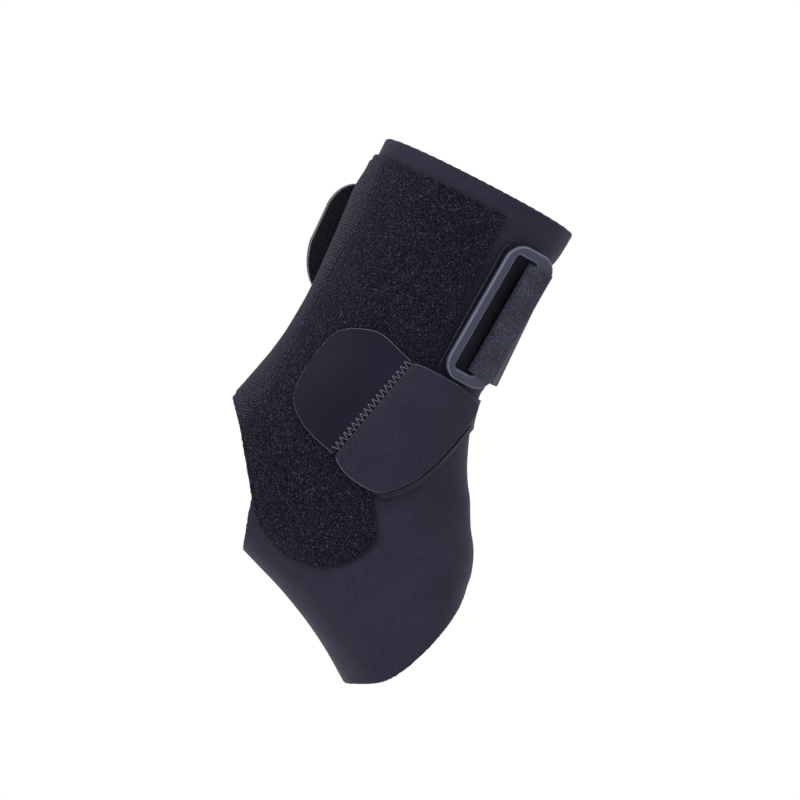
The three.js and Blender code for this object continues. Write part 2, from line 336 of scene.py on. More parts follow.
@dataclass(frozen=True)
class LoopPile(Finish):
    """Brushed loop pile: near black, with pale fibre ends in small clumps."""

    dark: tuple = (0.0010, 0.0007, 0.0030)
    light: tuple = (0.060, 0.048, 0.090)
    tip: tuple = (0.125, 0.108, 0.160)
    tint: tuple = (0.75, 0.70, 0.85)
    clumps: float = 1500.0
    curls: float = 1900.0
    patches: float = 90.0

    def dress(self, shader: Shader) -> None:
        """Lays the finish on.

        Args:
            shader: the material under construction.
        """
        clumps = shader.noise(self.clumps, 2, 0.6).clamped(0.42, 0.66)
        curls = shader.cells(self.curls).clamped(0.60, 0.10)
        broad = shader.noise(self.patches, 3).clamped(0.25, 0.75)
        pile = clumps * 0.7 + curls * 0.3
        tone = pile ** 2.2 * (0.60 + broad * 0.45)
        tips = (pile ** 4) * shader.noise(900, 1).clamped(0.50, 0.60)
        base = shader.mix(tone, self.dark, self.light)
        shader.set(Base_Color=shader.mix(tips * 0.7, base, self.tip), Roughness=0.92,
                   Specular_IOR_Level=0.06, Sheen_Weight=0.045, Sheen_Roughness=0.55,
                   Sheen_Tint=(*self.tint, 1.0))
        shader.bump(pile, 0.0007, 0.9)


@dataclass(frozen=True)
class RibbedEdge(Finish):
    """A ribbed tape: fine ridges across its run."""

    dark: tuple = (0.0012, 0.0009, 0.0040)
    light: tuple = (0.064, 0.050, 0.092)
    pitch: float = 1.15
    fibres: float = 1500.0

    def dress(self, shader: Shader) -> None:
        """Lays the finish on.

        Args:
            shader: the material under construction.
        """
        _, along = shader.cloth_axes()
        rib = (along * (FULL_TURN / self.pitch)).sine() * 0.5 + 0.5
        fibre = shader.noise(self.fibres, 3, 0.6).clamped(0.36, 0.68)
        tone = rib * 0.30 + fibre * 0.70
        shader.set(Base_Color=shader.mix(tone ** 2.4, self.dark, self.light), Roughness=0.88,
                   Specular_IOR_Level=0.08, Sheen_Weight=0.035, Sheen_Roughness=0.5)
        shader.bump(rib * 0.5 + fibre * 0.5, 0.0003, 0.8)


@dataclass(frozen=True)
class HookFilm(Finish):
    """The smooth back of moulded hook tape: blue-black with a fine grain."""

    dark: tuple = (0.0006, 0.0006, 0.0074)
    light: tuple = (0.0034, 0.0033, 0.0139)
    fleck: tuple = (0.05, 0.055, 0.06)
    mesh: float = 5.2
    grains: float = 3300.0
    clouds: float = 45.0
    flecks: float = 330.0

    def dress(self, shader: Shader) -> None:
        """Lays the finish on.

        Args:
            shader: the material under construction.
        """
        across, along = shader.cloth_axes()
        grid = ((across * self.mesh).sine() * (along * self.mesh).sine()).absolute()
        grain = shader.noise(self.grains, 2).clamped(0.35, 0.7)
        cloud = shader.noise(self.clouds, 2).clamped(0.3, 0.7)
        base = shader.mix(cloud * 0.5 + grain * 0.35 + grid * 0.15, self.dark, self.light)
        lint = shader.cells(self.flecks).clamped(0.10, 0.02) * shader.noise(170, 1).clamped(0.60, 0.66)
        shader.set(Base_Color=shader.mix(lint, base, self.fleck), Roughness=0.60 + grain * 0.14,
                   Specular_IOR_Level=0.15)
        shader.bump(grid * 0.6 + grain * 0.4, 0.00006, 0.5)


@dataclass(frozen=True)
class HookFace(Finish):
    """The gripping face of hook tape: black, in rows of tiny stems."""

    dark: tuple = (0.0030, 0.0026, 0.0070)
    light: tuple = (0.210, 0.200, 0.260)
    stem_rows: tuple = (3.6, 3.1)
    slant: float = 1.3
    grains: float = 1800.0

    def dress(self, shader: Shader) -> None:
        """Lays the finish on.

        Args:
            shader: the material under construction.
        """
        across, along = shader.cloth_axes()
        rows = (across * self.stem_rows[0] + along * self.slant).sine()
        stems = (rows * (along * self.stem_rows[1]).sine()).absolute() ** 3
        grain = shader.noise(self.grains, 2).clamped(0.4, 0.7)
        tone = stems * (0.35 + grain * 0.65)
        shader.set(Base_Color=shader.mix(tone, self.dark, self.light), Roughness=0.6,
                   Specular_IOR_Level=0.3)
        shader.bump(stems, 0.0004, 0.9)


@dataclass(frozen=True)
class WovenWeb(Finish):
    """Flat elastic webbing: a tight blue-grey weave with flecks of thread."""

    dark: tuple = (0.0020, 0.0018, 0.0055)
    light: tuple = (0.088, 0.091, 0.142)
    rib: float = 0.9
    fibres: float = 1700.0
    patches: float = 80.0

    def dress(self, shader: Shader) -> None:
        """Lays the finish on.

        Args:
            shader: the material under construction.
        """
        across, along = shader.cloth_axes()
        turn = FULL_TURN / self.rib
        weft = (across * turn).sine()
        warp = (along * turn * 0.8).sine()
        weave = (weft * warp) * 0.5 + 0.5
        fibre = shader.noise(self.fibres, 3, 0.65).clamped(0.36, 0.68)
        broad = shader.noise(self.patches, 2).clamped(0.25, 0.75)
        tone = weave * 0.30 + fibre * 0.55 + broad * 0.15
        shader.set(Base_Color=shader.mix(tone ** 2.0, self.dark, self.light), Roughness=0.74,
                   Specular_IOR_Level=0.15, Sheen_Weight=0.04, Sheen_Roughness=0.5)
        shader.bump(weave * 0.6 + fibre * 0.4, 0.00022, 0.8)


@dataclass(frozen=True)
class Moulded(Finish):
    """Moulded slate plastic with a satin skin, and a painted highlight: paler colour along its rounded
    edges.
    """

    base: tuple = (0.0180, 0.0215, 0.0420)
    # The colour of the painted highlight along the edges
    highlight_colour: tuple = (0.085, 0.095, 0.145)
    grains: float = 2400.0
    clouds: float = 70.0

    def dress(self, shader: Shader) -> None:
        """Lays the finish on.

        Args:
            shader: the material under construction.
        """
        # Painted highlight: the band kept in the mesh's colour layer turns the edges paler
        painted = shader.node("ShaderNodeVertexColor", {"layer_name": "edge_highlight"}, {}, "Color")
        edge = shader.node("ShaderNodeSeparateColor", {}, {0: painted}, "Red")
        grain = shader.noise(self.grains, 3).clamped(0.3, 0.7)
        cloud = shader.noise(self.clouds, 2).clamped(0.3, 0.7)
        edge_highlight = (edge * (0.55 + cloud * 0.45)).clamped(0.0, 1.0)
        shader.set(Base_Color=shader.mix(edge_highlight, self.base, self.highlight_colour),
                   Roughness=0.36 + grain * 0.12 + cloud * 0.05, Specular_IOR_Level=0.4)
        shader.bump(grain, 0.00004, 0.45)


@dataclass(frozen=True)
class CutEdge(Finish):
    """The pale cut edge of a laminated sheet."""

    dark: tuple = (0.040, 0.040, 0.052)
    light: tuple = (0.130, 0.130, 0.155)
    grains: float = 900.0
    specks: float = 3500.0

    def dress(self, shader: Shader) -> None:
        """Lays the finish on.

        Args:
            shader: the material under construction.
        """
        grain = shader.noise(self.grains, 3).clamped(0.3, 0.7)
        fine = shader.noise(self.specks, 2).clamped(0.3, 0.7)
        shader.set(Base_Color=shader.mix(grain * 0.7 + fine * 0.3, self.dark, self.light),
                   Roughness=0.7, Specular_IOR_Level=0.3)
        shader.bump(fine, 0.0001, 0.6)


@dataclass(frozen=True)
class Thread(Finish):
    """Twisted polyester sewing thread."""

    dark: tuple = (0.014, 0.013, 0.019)
    light: tuple = (0.105, 0.096, 0.125)
    ply: tuple = (6.0, 9.0)
    fibres: float = 2500.0

    def dress(self, shader: Shader) -> None:
        """Lays the finish on.

        Args:
            shader: the material under construction.
        """
        across, along = shader.cloth_axes()
        twist = (along * self.ply[1] + across * self.ply[0]).sine() * 0.5 + 0.5
        fibre = shader.noise(self.fibres, 2).clamped(0.3, 0.7)
        shader.set(Base_Color=shader.mix(twist * 0.6 + fibre * 0.4, self.dark, self.light),
                   Roughness=0.55, Specular_IOR_Level=0.4)
        shader.bump(twist, 0.00008, 0.7)


# Shape helpers


def spline(points: Array, shares: Array, extend: bool = True) -> Array:
    """Runs a smooth curve through points.

    Args:
        points: the points, one a row.
        shares: places along the curve, from 0 to 1.
        extend: carries the curve's end on in a line; else the end point is used twice.

    Returns:
        One row of the curve for each share.
    """
    first = 2 * points[0] - points[1] if extend else points[0]
    last = 2 * points[-1] - points[-2] if extend else points[-1]
    rows = np.vstack([first, points, last])
    place = np.asarray(shares, float) * (len(points) - 1)
    index = np.clip(np.floor(place).astype(int), 0, len(points) - 2)
    share = (place - index)[..., None]
    before, start, end, after = (rows[index + k] for k in range(4))
    enter, leave = 0.5 * (end - before), 0.5 * (after - start)
    return (start + enter * share + (3 * (end - start) - 2 * enter - leave) * share ** 2
            + (2 * (start - end) + enter + leave) * share ** 3)


def together(*values: object) -> list[Array]:
    """Numbers and arrays brought to one shape."""
    return np.broadcast_arrays(*(np.asarray(value, float) for value in values))


def run_length(points: Array) -> Array:
    """The length from a run's start to each of its points."""
    steps = np.linalg.norm(np.diff(points, axis=0), axis=1)
    return np.concatenate([[0], np.cumsum(steps)])


def stitch_height(share: Array) -> Array:
    """A stitch's height over the cloth, at shares of its length."""
    return 0.02 + 0.26 * np.sin(share * math.pi) ** 0.6


def smooth_outline(points: Outline, steps: int) -> Array:
    """Smooths an outline.

    Args:
        points: its corner points.
        steps: pieces to cut it in.

    Returns:
        The outline's points.
    """
    return spline(np.array(points, float), np.linspace(0, 1, steps + 1), extend=False)


def rounded_run(points: Array, rounds: int) -> Array:
    """Takes the kinks out of a run of points, whose ends stay.

    Args:
        points: the run.
        rounds: how many times each point moves towards its neighbours' middle.

    Returns:
        The smoother run.
    """
    run = np.array(points, float)
    for _ in range(rounds):
        run[1:-1] = 0.5 * run[1:-1] + 0.25 * (run[:-2] + run[2:])
    return run


def depth_inside(outline: Outline, x: Array, z: Array) -> Array:
    """How far points lie inside an outline.

    Args:
        outline: a closed outline in X and Z.
        x: the points' X.
        z: the points' Z.

    Returns:
        Millimetres to the outline, negative outside it.
    """
    corners = np.array(outline, float)
    nearest = np.full(x.shape, 1e9)
    odd = np.zeros(x.shape, bool)
    for (ax, az), (bx, bz) in zip(corners, np.roll(corners, -1, axis=0)):
        span = max((bx - ax) ** 2 + (bz - az) ** 2, 1e-12)
        share = np.clip(((x - ax) * (bx - ax) + (z - az) * (bz - az)) / span, 0, 1)
        nearest = np.minimum(nearest, np.hypot(x - ax - share * (bx - ax), z - az - share * (bz - az)))
        if az != bz:
            odd ^= ((az > z) != (bz > z)) & (x < ax + (z - az) * (bx - ax) / (bz - az))
    return np.where(odd, nearest, -nearest)


def ease(value: Array, low: float, high: float) -> Array:
    """Maps low..high to 0..1 with soft ends.

    Args:
        value: the values.
        low: where the result is 0.
        high: where the result is 1.

    Returns:
        The eased shares.
    """
    share = np.clip((value - low) / (high - low), 0, 1)
    return share * share * (3 - 2 * share)


def round_edge(inside: Array, radius: float) -> Array:
    """The share of a sheet's half thickness at a distance from its edge.

    Args:
        inside: the distance.
        radius: the distance over which the edge is rounded.

    Returns:
        0 at the edge, 1 from radius on.
    """
    return np.sqrt(np.maximum(0.0, 1 - (1 - np.clip(inside / radius, 0, 1)) ** 2))


def ripple(points: Array, size: float) -> Array:
    """Soft, uneven waves over a surface.

    Args:
        points: points in millimetres.
        size: the waves' length.

    Returns:
        Heights from about -1 to 1.
    """
    x, y, z = points[:, 0] / size, points[:, 1] / size, points[:, 2] / size
    return (np.sin(2.1 * x + 1.3 * np.sin(1.7 * z)) * np.cos(1.9 * z + 0.7 * y) * 0.5
            + np.sin(3.7 * z - 1.1 * x + 2.0 * np.sin(2.3 * y)) * 0.3
            + np.sin(5.3 * x + 4.1 * y + 1.3 * z) * 0.2)


class Shell:
    """A closed mesh gathered from sheets of triangles."""

    def __init__(self) -> None:
        """Starts with nothing."""
        self.points: list[Array] = []
        self.cloth: list[Array] = []
        self.faces: list[Array] = []
        self.looks: list[Array] = []
        self.edge_highlight: list[Array] = []
        self.count = 0

    def add(self, points: Array, cloth: Array, faces: Array, looks: Array,
            edge_highlight: Array | None = None) -> None:
        """Adds a sheet.

        Args:
            points: positions in millimetres.
            cloth: millimetres across and along the cloth at each point.
            faces: triangles.
            looks: the material number of each triangle.
            edge_highlight: the painted highlight on the edges at each point.
        """
        self.points.append(points)
        self.cloth.append(cloth)
        self.faces.append(faces + self.count)
        self.looks.append(looks)
        self.edge_highlight.append(np.zeros(len(points)) if edge_highlight is None else edge_highlight)
        self.count += len(points)

    def build(self, name: str, materials: Sequence[bpy.types.Material]) -> bpy.types.Object:
        """Joins the sheets where they meet, leaves out empty and doubled triangles, makes the object.

        Args:
            name: the object's name.
            materials: its materials, in the order of their numbers.

        Returns:
            The object.
        """
        points, cloth = np.vstack(self.points), np.vstack(self.cloth)
        faces, looks, edge_highlight = np.vstack(self.faces), np.hstack(self.looks), np.hstack(self.edge_highlight)
        _, first, weld = np.unique(np.round(points * WELDS_PER_MM).astype(np.int64), axis=0,
                                   return_index=True, return_inverse=True)
        weld = weld.reshape(-1)
        joined = weld[faces]
        keep = ((joined[:, 0] != joined[:, 1]) & (joined[:, 1] != joined[:, 2])
                & (joined[:, 2] != joined[:, 0]))
        joined, corners, looks = joined[keep], faces[keep], looks[keep]
        _, same, count = np.unique(np.sort(joined, axis=1), axis=0, return_inverse=True,
                                   return_counts=True)
        single = count[same.reshape(-1)] == 1
        joined, corners, looks = joined[single], corners[single], looks[single]
        places = points[first]
        a, b, c = (places[joined[:, k]] for k in range(3))
        if np.einsum("ij,ij->", a, np.cross(b - a, c - a)) < 0:
            joined, corners = joined[:, ::-1], corners[:, ::-1]
        mesh = bpy.data.meshes.new(name)
        mesh.from_pydata((places * MM).tolist(), [], joined.tolist())
        layer = mesh.uv_layers.new(name="cloth")
        layer.data.foreach_set("uv", cloth[corners.reshape(-1)].astype(np.float32).reshape(-1))
        # The painted edge highlight is kept in a colour layer
        if edge_highlight.any():
            paint = mesh.color_attributes.new("edge_highlight", "FLOAT_COLOR", "POINT")
            shade = np.repeat(edge_highlight[first][:, None], 4, axis=1)
            shade[:, 3] = 1.0
            paint.data.foreach_set("color", shade.astype(np.float32).reshape(-1))
        for material in materials:
            mesh.materials.append(material)
        mesh.polygons.foreach_set("material_index", looks.astype(np.int32))
        mesh.polygons.foreach_set("use_smooth", np.ones(len(joined), bool))
        mesh.update()
        made = bpy.data.objects.new(name, mesh)
        bpy.context.collection.objects.link(made)
        return made


class Cutter:
    """Cuts a sheet of triangles along lines where a field has chosen values."""

    def __init__(self, places: Array, fields: Array, faces: Array) -> None:
        """Keeps the sheet.

        Args:
            places: each point's place on the form, as share and turn or as across and up.
            fields: each point's fields, one a column.
            faces: triangles.
        """
        self.data = np.hstack([places, fields])
        self.faces = faces

    def cut(self, column: int, level: float, snap: float, drop: bool = False) -> None:
        """Cuts along one line.

        Args:
            column: the field's column, counted after the places.
            level: its value on the line.
            snap: points nearer than this are put on the line.
            drop: leaves out the side below the line.
        """
        value = self.data[:, 2 + column]
        value[np.abs(value - level) < snap] = level
        side = np.sign(value - level).astype(int)
        marks = side[self.faces]
        crossed = (marks.min(axis=1) < 0) & (marks.max(axis=1) > 0)
        new_rows: list[Array] = []
        made: dict[tuple[int, int], int] = {}
        fresh: list[tuple[int, int, int]] = []
        for face in self.faces[crossed].tolist():
            sides: tuple[list[int], list[int]] = ([], [])
            for here, there in zip(face, face[1:] + face[:1]):
                if side[here] >= 0:
                    sides[0].append(here)
                if side[here] <= 0:
                    sides[1].append(here)
                if side[here] * side[there] < 0:
                    key = (min(here, there), max(here, there))
                    if key not in made:
                        start, end = self.data[key[0]], self.data[key[1]]
                        share = (level - start[2 + column]) / (end[2 + column] - start[2 + column])
                        row = start + share * (end - start)
                        row[2 + column] = level
                        made[key] = len(self.data) + len(new_rows)
                        new_rows.append(row)
                    sides[0].append(made[key])
                    sides[1].append(made[key])
            for chain in sides:
                fresh += [(chain[0], chain[k], chain[k + 1]) for k in range(1, len(chain) - 1)]
        parts = [self.faces[~crossed]]
        if fresh:
            self.data = np.vstack([self.data, *new_rows])
            parts.append(np.array(fresh))
        self.faces = np.vstack(parts)
        if drop:
            low = self.data[:, 2 + column][self.faces]
            self.faces = self.faces[(low.min(axis=1) >= level) & (low.max(axis=1) > level)]

    def packed(self) -> tuple[Array, Array]:
        """Leaves out unused points.

        Returns:
            The points' rows and the triangles.
        """
        used, faces = np.unique(self.faces, return_inverse=True)
        return self.data[used], faces.reshape(-1, 3)


def grid_faces(rows: int, columns: int) -> Array:
    """Triangles of a grid.

    Args:
        rows: points along the first direction.
        columns: points along the second.

    Returns:
        The triangles.
    """
    corner = (np.arange(rows - 1)[:, None] * columns + np.arange(columns - 1)[None, :]).reshape(-1)
    return np.vstack([
        np.stack([corner, corner + columns, corner + 1], axis=1),
        np.stack([corner + 1, corner + columns, corner + columns + 1], axis=1)])


# The worn form


class Form:
    """The outer face of the sleeve: slanted rounded-square sections from the rim to the foot."""

    rim_height = 126.0
    collar_depth = 95.0
    collar_width = 88.0
    sole_drop = 100.0
    foot_reach = 79.0
    foot_width = 80.0
    power = 2.25
    cloth_length = 300.0
    cloth_radius = 42.0

    # Height as a share of rim_height; back and front of collar_depth; half width of collar_width
    shaft_rows = (
        (1.10, -0.494, 0.512, 0.510), (1.00, -0.491, 0.504, 0.500), (0.88, -0.488, 0.488, 0.490),
        (0.79, -0.494, 0.435, 0.472), (0.61, -0.476, 0.440, 0.428), (0.40, -0.462, 0.464, 0.392))

    # Back and front: X as a share of foot_reach and Z of sole_drop; half width of foot_width
    foot_rows = (
        (-0.568, 0.290, 0.555, 0.420, 0.432), (-0.612, 0.100, 0.588, 0.290, 0.462),
        (-0.680, -0.115, 0.650, 0.160, 0.455), (-0.730, -0.370, 0.715, 0.060, 0.430),
        (-0.580, -0.600, 0.777, -0.012, 0.418), (-0.252, -0.676, 0.850, -0.115, 0.428),
        (0.120, -0.780, 0.925, -0.205, 0.455), (0.400, -0.890, 0.975, -0.300, 0.485),
        (0.623, -1.003, 1.000, -0.402, 0.502), (0.800, -1.100, 1.100, -0.620, 0.505))

    def __init__(self) -> None:
        """Turns the rows into millimetres."""
        shaft = [(back * self.collar_depth, high * self.rim_height, front * self.collar_depth,
                  high * self.rim_height, half * self.collar_width)
                 for high, back, front, half in self.shaft_rows]
        foot = [(back_x * self.foot_reach, back_z * self.sole_drop, front_x * self.foot_reach,
                 front_z * self.sole_drop, half * self.foot_width)
                for back_x, back_z, front_x, front_z, half in self.foot_rows]
        self.rows = np.array(shaft + foot)

    def point(self, share: Array, turn: Array, lift: Array) -> Array:
        """Points of the form.

        Args:
            share: places along its run, from 0 above the rim to 1 past the foot's edge.
            turn: angles round it, 0 at the front and positive to the inner side.
            lift: heights over the outer face.

        Returns:
            The points.
        """
        share, turn, lift = together(share, turn, lift)
        row = spline(self.rows, share)
        back, front = row[..., 0:2], row[..., 2:4]
        half = (front - back) / 2
        depth = np.linalg.norm(half, axis=-1)
        along = np.sign(np.cos(turn)) * np.abs(np.cos(turn)) ** (2 / self.power) * (depth + lift)
        across = np.sign(np.sin(turn)) * np.abs(np.sin(turn)) ** (2 / self.power) * (row[..., 4] + lift)
        flat = (back + front) / 2 + half * (along / depth)[..., None]
        return np.stack([flat[..., 0], across, flat[..., 1]], axis=-1)

    def shaft(self, height: Array, turn: Array, lift: Array) -> Array:
        """Points of the shaft at chosen heights.

        Args:
            height: heights over the origin.
            turn: angles round the shaft.
            lift: heights over the outer face.

        Returns:
            The points.
        """
        height, turn, lift = together(height, turn, lift)
        low, high = np.zeros(height.shape), np.full(height.shape, 0.55)
        for _ in range(24):
            middle = (low + high) / 2
            above = self.point(middle, turn, lift)[..., 2] > height
            low, high = np.where(above, middle, low), np.where(above, high, middle)
        return self.point(low, turn, lift)

    def outer(self, x: Array, z: Array, lift: Array) -> Array:
        """Points of the outer side at chosen X and Z.

        Args:
            x: the points' X.
            z: the points' Z.
            lift: heights over the outer face.

        Returns:
            The points.
        """
        x, z, lift = together(x, z, lift)
        cells, nudge = 70, 1e-4
        shares, turns = np.meshgrid(np.linspace(0.02, 0.98, cells),
                                    np.radians(np.linspace(-176, -4, cells)))
        shares, turns = shares.reshape(-1), turns.reshape(-1)
        rough = self.point(shares, turns, 0.0)
        gap = (rough[None, :, 0] - x[:, None]) ** 2 + (rough[None, :, 2] - z[:, None]) ** 2
        near = gap.argmin(axis=1)
        share, turn = shares[near], turns[near]
        for _ in range(8):
            here = self.point(share, turn, lift)
            by_share = (self.point(share + nudge, turn, lift) - here) / nudge
            by_turn = (self.point(share, turn + nudge, lift) - here) / nudge
            miss_x, miss_z = x - here[:, 0], z - here[:, 2]
            scale = by_share[:, 0] * by_turn[:, 2] - by_turn[:, 0] * by_share[:, 2]
            share = share + (miss_x * by_turn[:, 2] - by_turn[:, 0] * miss_z) / scale
            turn = turn + (by_share[:, 0] * miss_z - by_share[:, 2] * miss_x) / scale
        return self.point(share, turn, lift)


FORM = Form()


@dataclass
class Skin:
    """A sheet over the form, cut to a region, with rounded edges and its own relief.

    Attributes:
        low: its inner face's height over the form.
        high: its outer face's height.
        region: how far points lie inside the sheet.
        turns: the degrees round the form that it may reach over.
        cells: the points along and round the form that it is cut from.
        shares: the part of the form's run that it may reach over.
        edge: the distance over which its edges are rounded.
        relief: how far its outer face stands proud, from points and their distance inside.
        split: how far points lie before a line where the look changes.
        rim: the width of a border that gets its own rows of points.
        looks: material numbers of the outer face, the inner face, the rim and past the split.
        margin: how far outside the region points are kept before the cut.
    """

    low: float
    high: float
    region: Callable[[Array], Array]
    turns: tuple[float, float]
    cells: tuple[int, int] = (200, 160)
    shares: tuple[float, float] = (0.0, 1.0)
    edge: float = 0.8
    relief: Callable[[Array, Array], Array] | None = None
    split: Callable[[Array], Array] | None = None
    rim: float = 0.0
    looks: tuple[int, int, int, int] = (0, 0, 0, 0)
    margin: float = 2.0

    def shell(self) -> Shell:
        """Makes the sheet's two faces.

        Returns:
            A closed shell, with material numbers for the outer face, the inner face, the rim and
            the part past the split, as in looks.
        """
        rows, columns = self.cells
        share, turn = np.meshgrid(np.linspace(*self.shares, rows),
                                  np.radians(np.linspace(*self.turns, columns)), indexing="ij")
        places = np.stack([share.reshape(-1), turn.reshape(-1)], axis=1)
        spots = FORM.point(places[:, 0], places[:, 1], self.high)
        fields = [self.region(spots)]
        fields.append(self.split(spots) if self.split else np.ones(len(spots)))
        sheet = Cutter(places, np.stack(fields, axis=1), grid_faces(rows, columns))
        sheet.faces = sheet.faces[sheet.data[:, 2][sheet.faces].max(axis=1) > -self.margin]
        sheet.cut(0, 0.0, EDGE_SNAP, drop=True)
        for part in ROUND_ROWS:
            sheet.cut(0, part * self.edge, ROUND_SNAP)
        if self.rim:
            sheet.cut(0, self.rim, LINE_SNAP)
            sheet.cut(0, self.rim + 1.0, LINE_SNAP)
        if self.split:
            sheet.cut(1, 0.0, LINE_SNAP)
        rows_used, faces = sheet.packed()
        share, turn, inside, past = rows_used.T
        spots = FORM.point(share, turn, self.high)
        full = round_edge(inside, self.edge)
        bump = self.relief(spots, inside) if self.relief else np.zeros(len(share))
        middle, half = (self.low + self.high) / 2, (self.high - self.low) / 2
        cloth = np.stack([turn * FORM.cloth_radius, share * FORM.cloth_length], axis=1)
        on_rim = inside[faces].max(axis=1) <= (ROUND_ROWS[1] + 0.01) * self.edge
        beyond = past[faces].mean(axis=1) < 0
        outer = np.where(beyond, self.looks[3], np.where(on_rim, self.looks[2], self.looks[0]))
        inner = np.where(on_rim, self.looks[2], self.looks[1])
        shell = Shell()
        shell.add(FORM.point(share, turn, middle + half * full + bump * full), cloth, faces, outer)
        shell.add(FORM.point(share, turn, middle - half * full), cloth, faces[:, ::-1], inner)
        return shell


class Held(Enum):
    """How a cloth piece is held."""

    STRETCHED = "stretched"
    LAID = "laid"


@dataclass
class Piece:
    """A finished piece and how it takes its place.

    Attributes:
        name: its name.
        node: the solid that it replaces, if any.
        slot: the record's material slot; not used.
        finishes: its finishes, in the order of the material numbers.
        flat: a cloth piece's width and length as cut, in metres; not used.
        area: its flat area in square metres, where the cut isn't a rectangle; not used.
        held: how it is held; not used.
    """

    name: str
    node: str | None
    slot: Slot
    finishes: Sequence[Finish]
    flat: tuple[float, float] | None = None
    area: float | None = None
    held: Held = Held.STRETCHED

    def make(self, shell: Shell) -> bpy.types.Object:
        """Args:
            shell: its mesh.

        Returns:
            The object.
        """
        materials = [finish.material(f"{self.name}_{type(finish).__name__}")
                     for finish in self.finishes]
        made = shell.build(self.name, materials)
        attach(made, "root")
        if self.node:
            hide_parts(self.node)
        return made


def tubes(runs: Sequence[Array], radius: float, sides: int = 6) -> Shell:
    """Threads along runs of points, with closed, tapered ends.

    Args:
        runs: the threads' middle lines.
        radius: their radius.
        sides: the faces round them.

    Returns:
        The shell.
    """
    shell = Shell()
    angle = np.linspace(0, FULL_TURN, sides, endpoint=False)
    outward = np.array([0.0, -1.0, 0.02])
    for run in runs:
        ahead = np.gradient(run, axis=0)
        ahead /= np.linalg.norm(ahead, axis=1)[:, None]
        aside = np.cross(ahead, outward)
        aside /= np.linalg.norm(aside, axis=1)[:, None]
        above = np.cross(aside, ahead)
        thick = np.full(len(run), radius)
        thick[0] = thick[-1] = radius * 0.35
        ring = run[:, None, :] + thick[:, None, None] * (
            np.cos(angle)[None, :, None] * aside[:, None, :]
            + np.sin(angle)[None, :, None] * above[:, None, :])
        count = len(run)
        points = np.vstack([ring.reshape(-1, 3), run[:1], run[-1:]])
        length = run_length(run)
        cloth = np.stack([np.tile(angle * radius, count), np.repeat(length, sides)], axis=1)
        cloth = np.vstack([cloth, [0, 0], [0, length[-1]]])
        faces = []
        for j in range(sides):
            after = (j + 1) % sides
            for i in range(count - 1):
                a, b = i * sides + j, i * sides + after
                faces += [(a, b, a + sides), (b, b + sides, a + sides)]
            faces.append((count * sides, after, j))
            faces.append((count * sides + 1, (count - 1) * sides + j, (count - 1) * sides + after))
        shell.add(points, cloth, np.array(faces), np.zeros(len(faces), int))
    return shell


# Sub-assemblies


@dataclass
class Sleeve:
    """The foam sleeve, open at the rim, the heel and the toes."""

    wall: float = 3.0
    scallop: float = 0.13
    heel_edge: tuple = ((-0.690, -0.105), (-0.583, -0.187), (-0.456, -0.313), (-0.334, -0.440),
                        (-0.252, -0.675))
    foot_edge: tuple = ((0.560, -1.090), (0.623, -1.003), (0.805, -0.888), (0.916, -0.716),
                        (0.985, -0.534), (1.005, -0.402), (1.000, -0.250))

    def heel_outline(self) -> list:
        """The heel opening as cut through the brace.

        Returns:
            A closed outline in X and Z.
        """
        edge = [(x * FORM.foot_reach, z * FORM.sole_drop) for x, z in self.heel_edge]
        (first_x, first_z), (last_x, _) = edge[0], edge[4]
        return [(-BEYOND, first_z + 3), (first_x - 4, first_z + 3),
                *map(tuple, smooth_outline(edge[:4], 24)), edge[4], (last_x - 4, -120), (-BEYOND, -120)]

    def foot_outline(self) -> list:
        """The foot opening as cut through the brace.

        Returns:
            A closed outline in X and Z.
        """
        edge = [(x * FORM.foot_reach, z * FORM.sole_drop) for x, z in self.foot_edge]
        return [*map(tuple, smooth_outline(edge, 40)), (BEYOND, edge[-1][1]), (BEYOND, -BEYOND),
                (edge[0][0], -BEYOND)]

    def open_depth(self, spots: Array) -> Array:
        """How far points lie from the rim and both openings.

        Args:
            spots: points in millimetres.

        Returns:
            Millimetres inside the cloth, negative where it is cut away.
        """
        x, z = spots[:, 0], spots[:, 2]
        return np.minimum.reduce([FORM.rim_height - z, -depth_inside(self.heel_outline(), x, z),
                                  -depth_inside(self.foot_outline(), x, z)])

    def scalloped(self, spots: Array) -> Array:
        """Scallops the cut edges finely, as overlocked foam is.

        Args:
            spots: points in millimetres.

        Returns:
            Millimetres inside the cloth.
        """
        wave = np.sin(4.4 * spots[:, 2] + 1.5 * spots[:, 0])
        return self.open_depth(spots) - 0.05 + self.scallop * wave

    def build(self) -> list[bpy.types.Object]:
        """Makes the sleeve.

        Returns:
            Its pieces.
        """
        skin = Skin(low=-self.wall, high=0.0, region=self.scalloped, turns=(-180, 180),
                    cells=(250, 200), edge=1.3,
                    relief=lambda spots, inside: 0.16 * ripple(spots, 14))
        piece = Piece("brace_sleeve", "sleeve", Slot.NEOPRENE, (FoamCloth(),),
                      flat=(0.27, 0.25), area=0.0565)
        return [piece.make(skin.shell())]


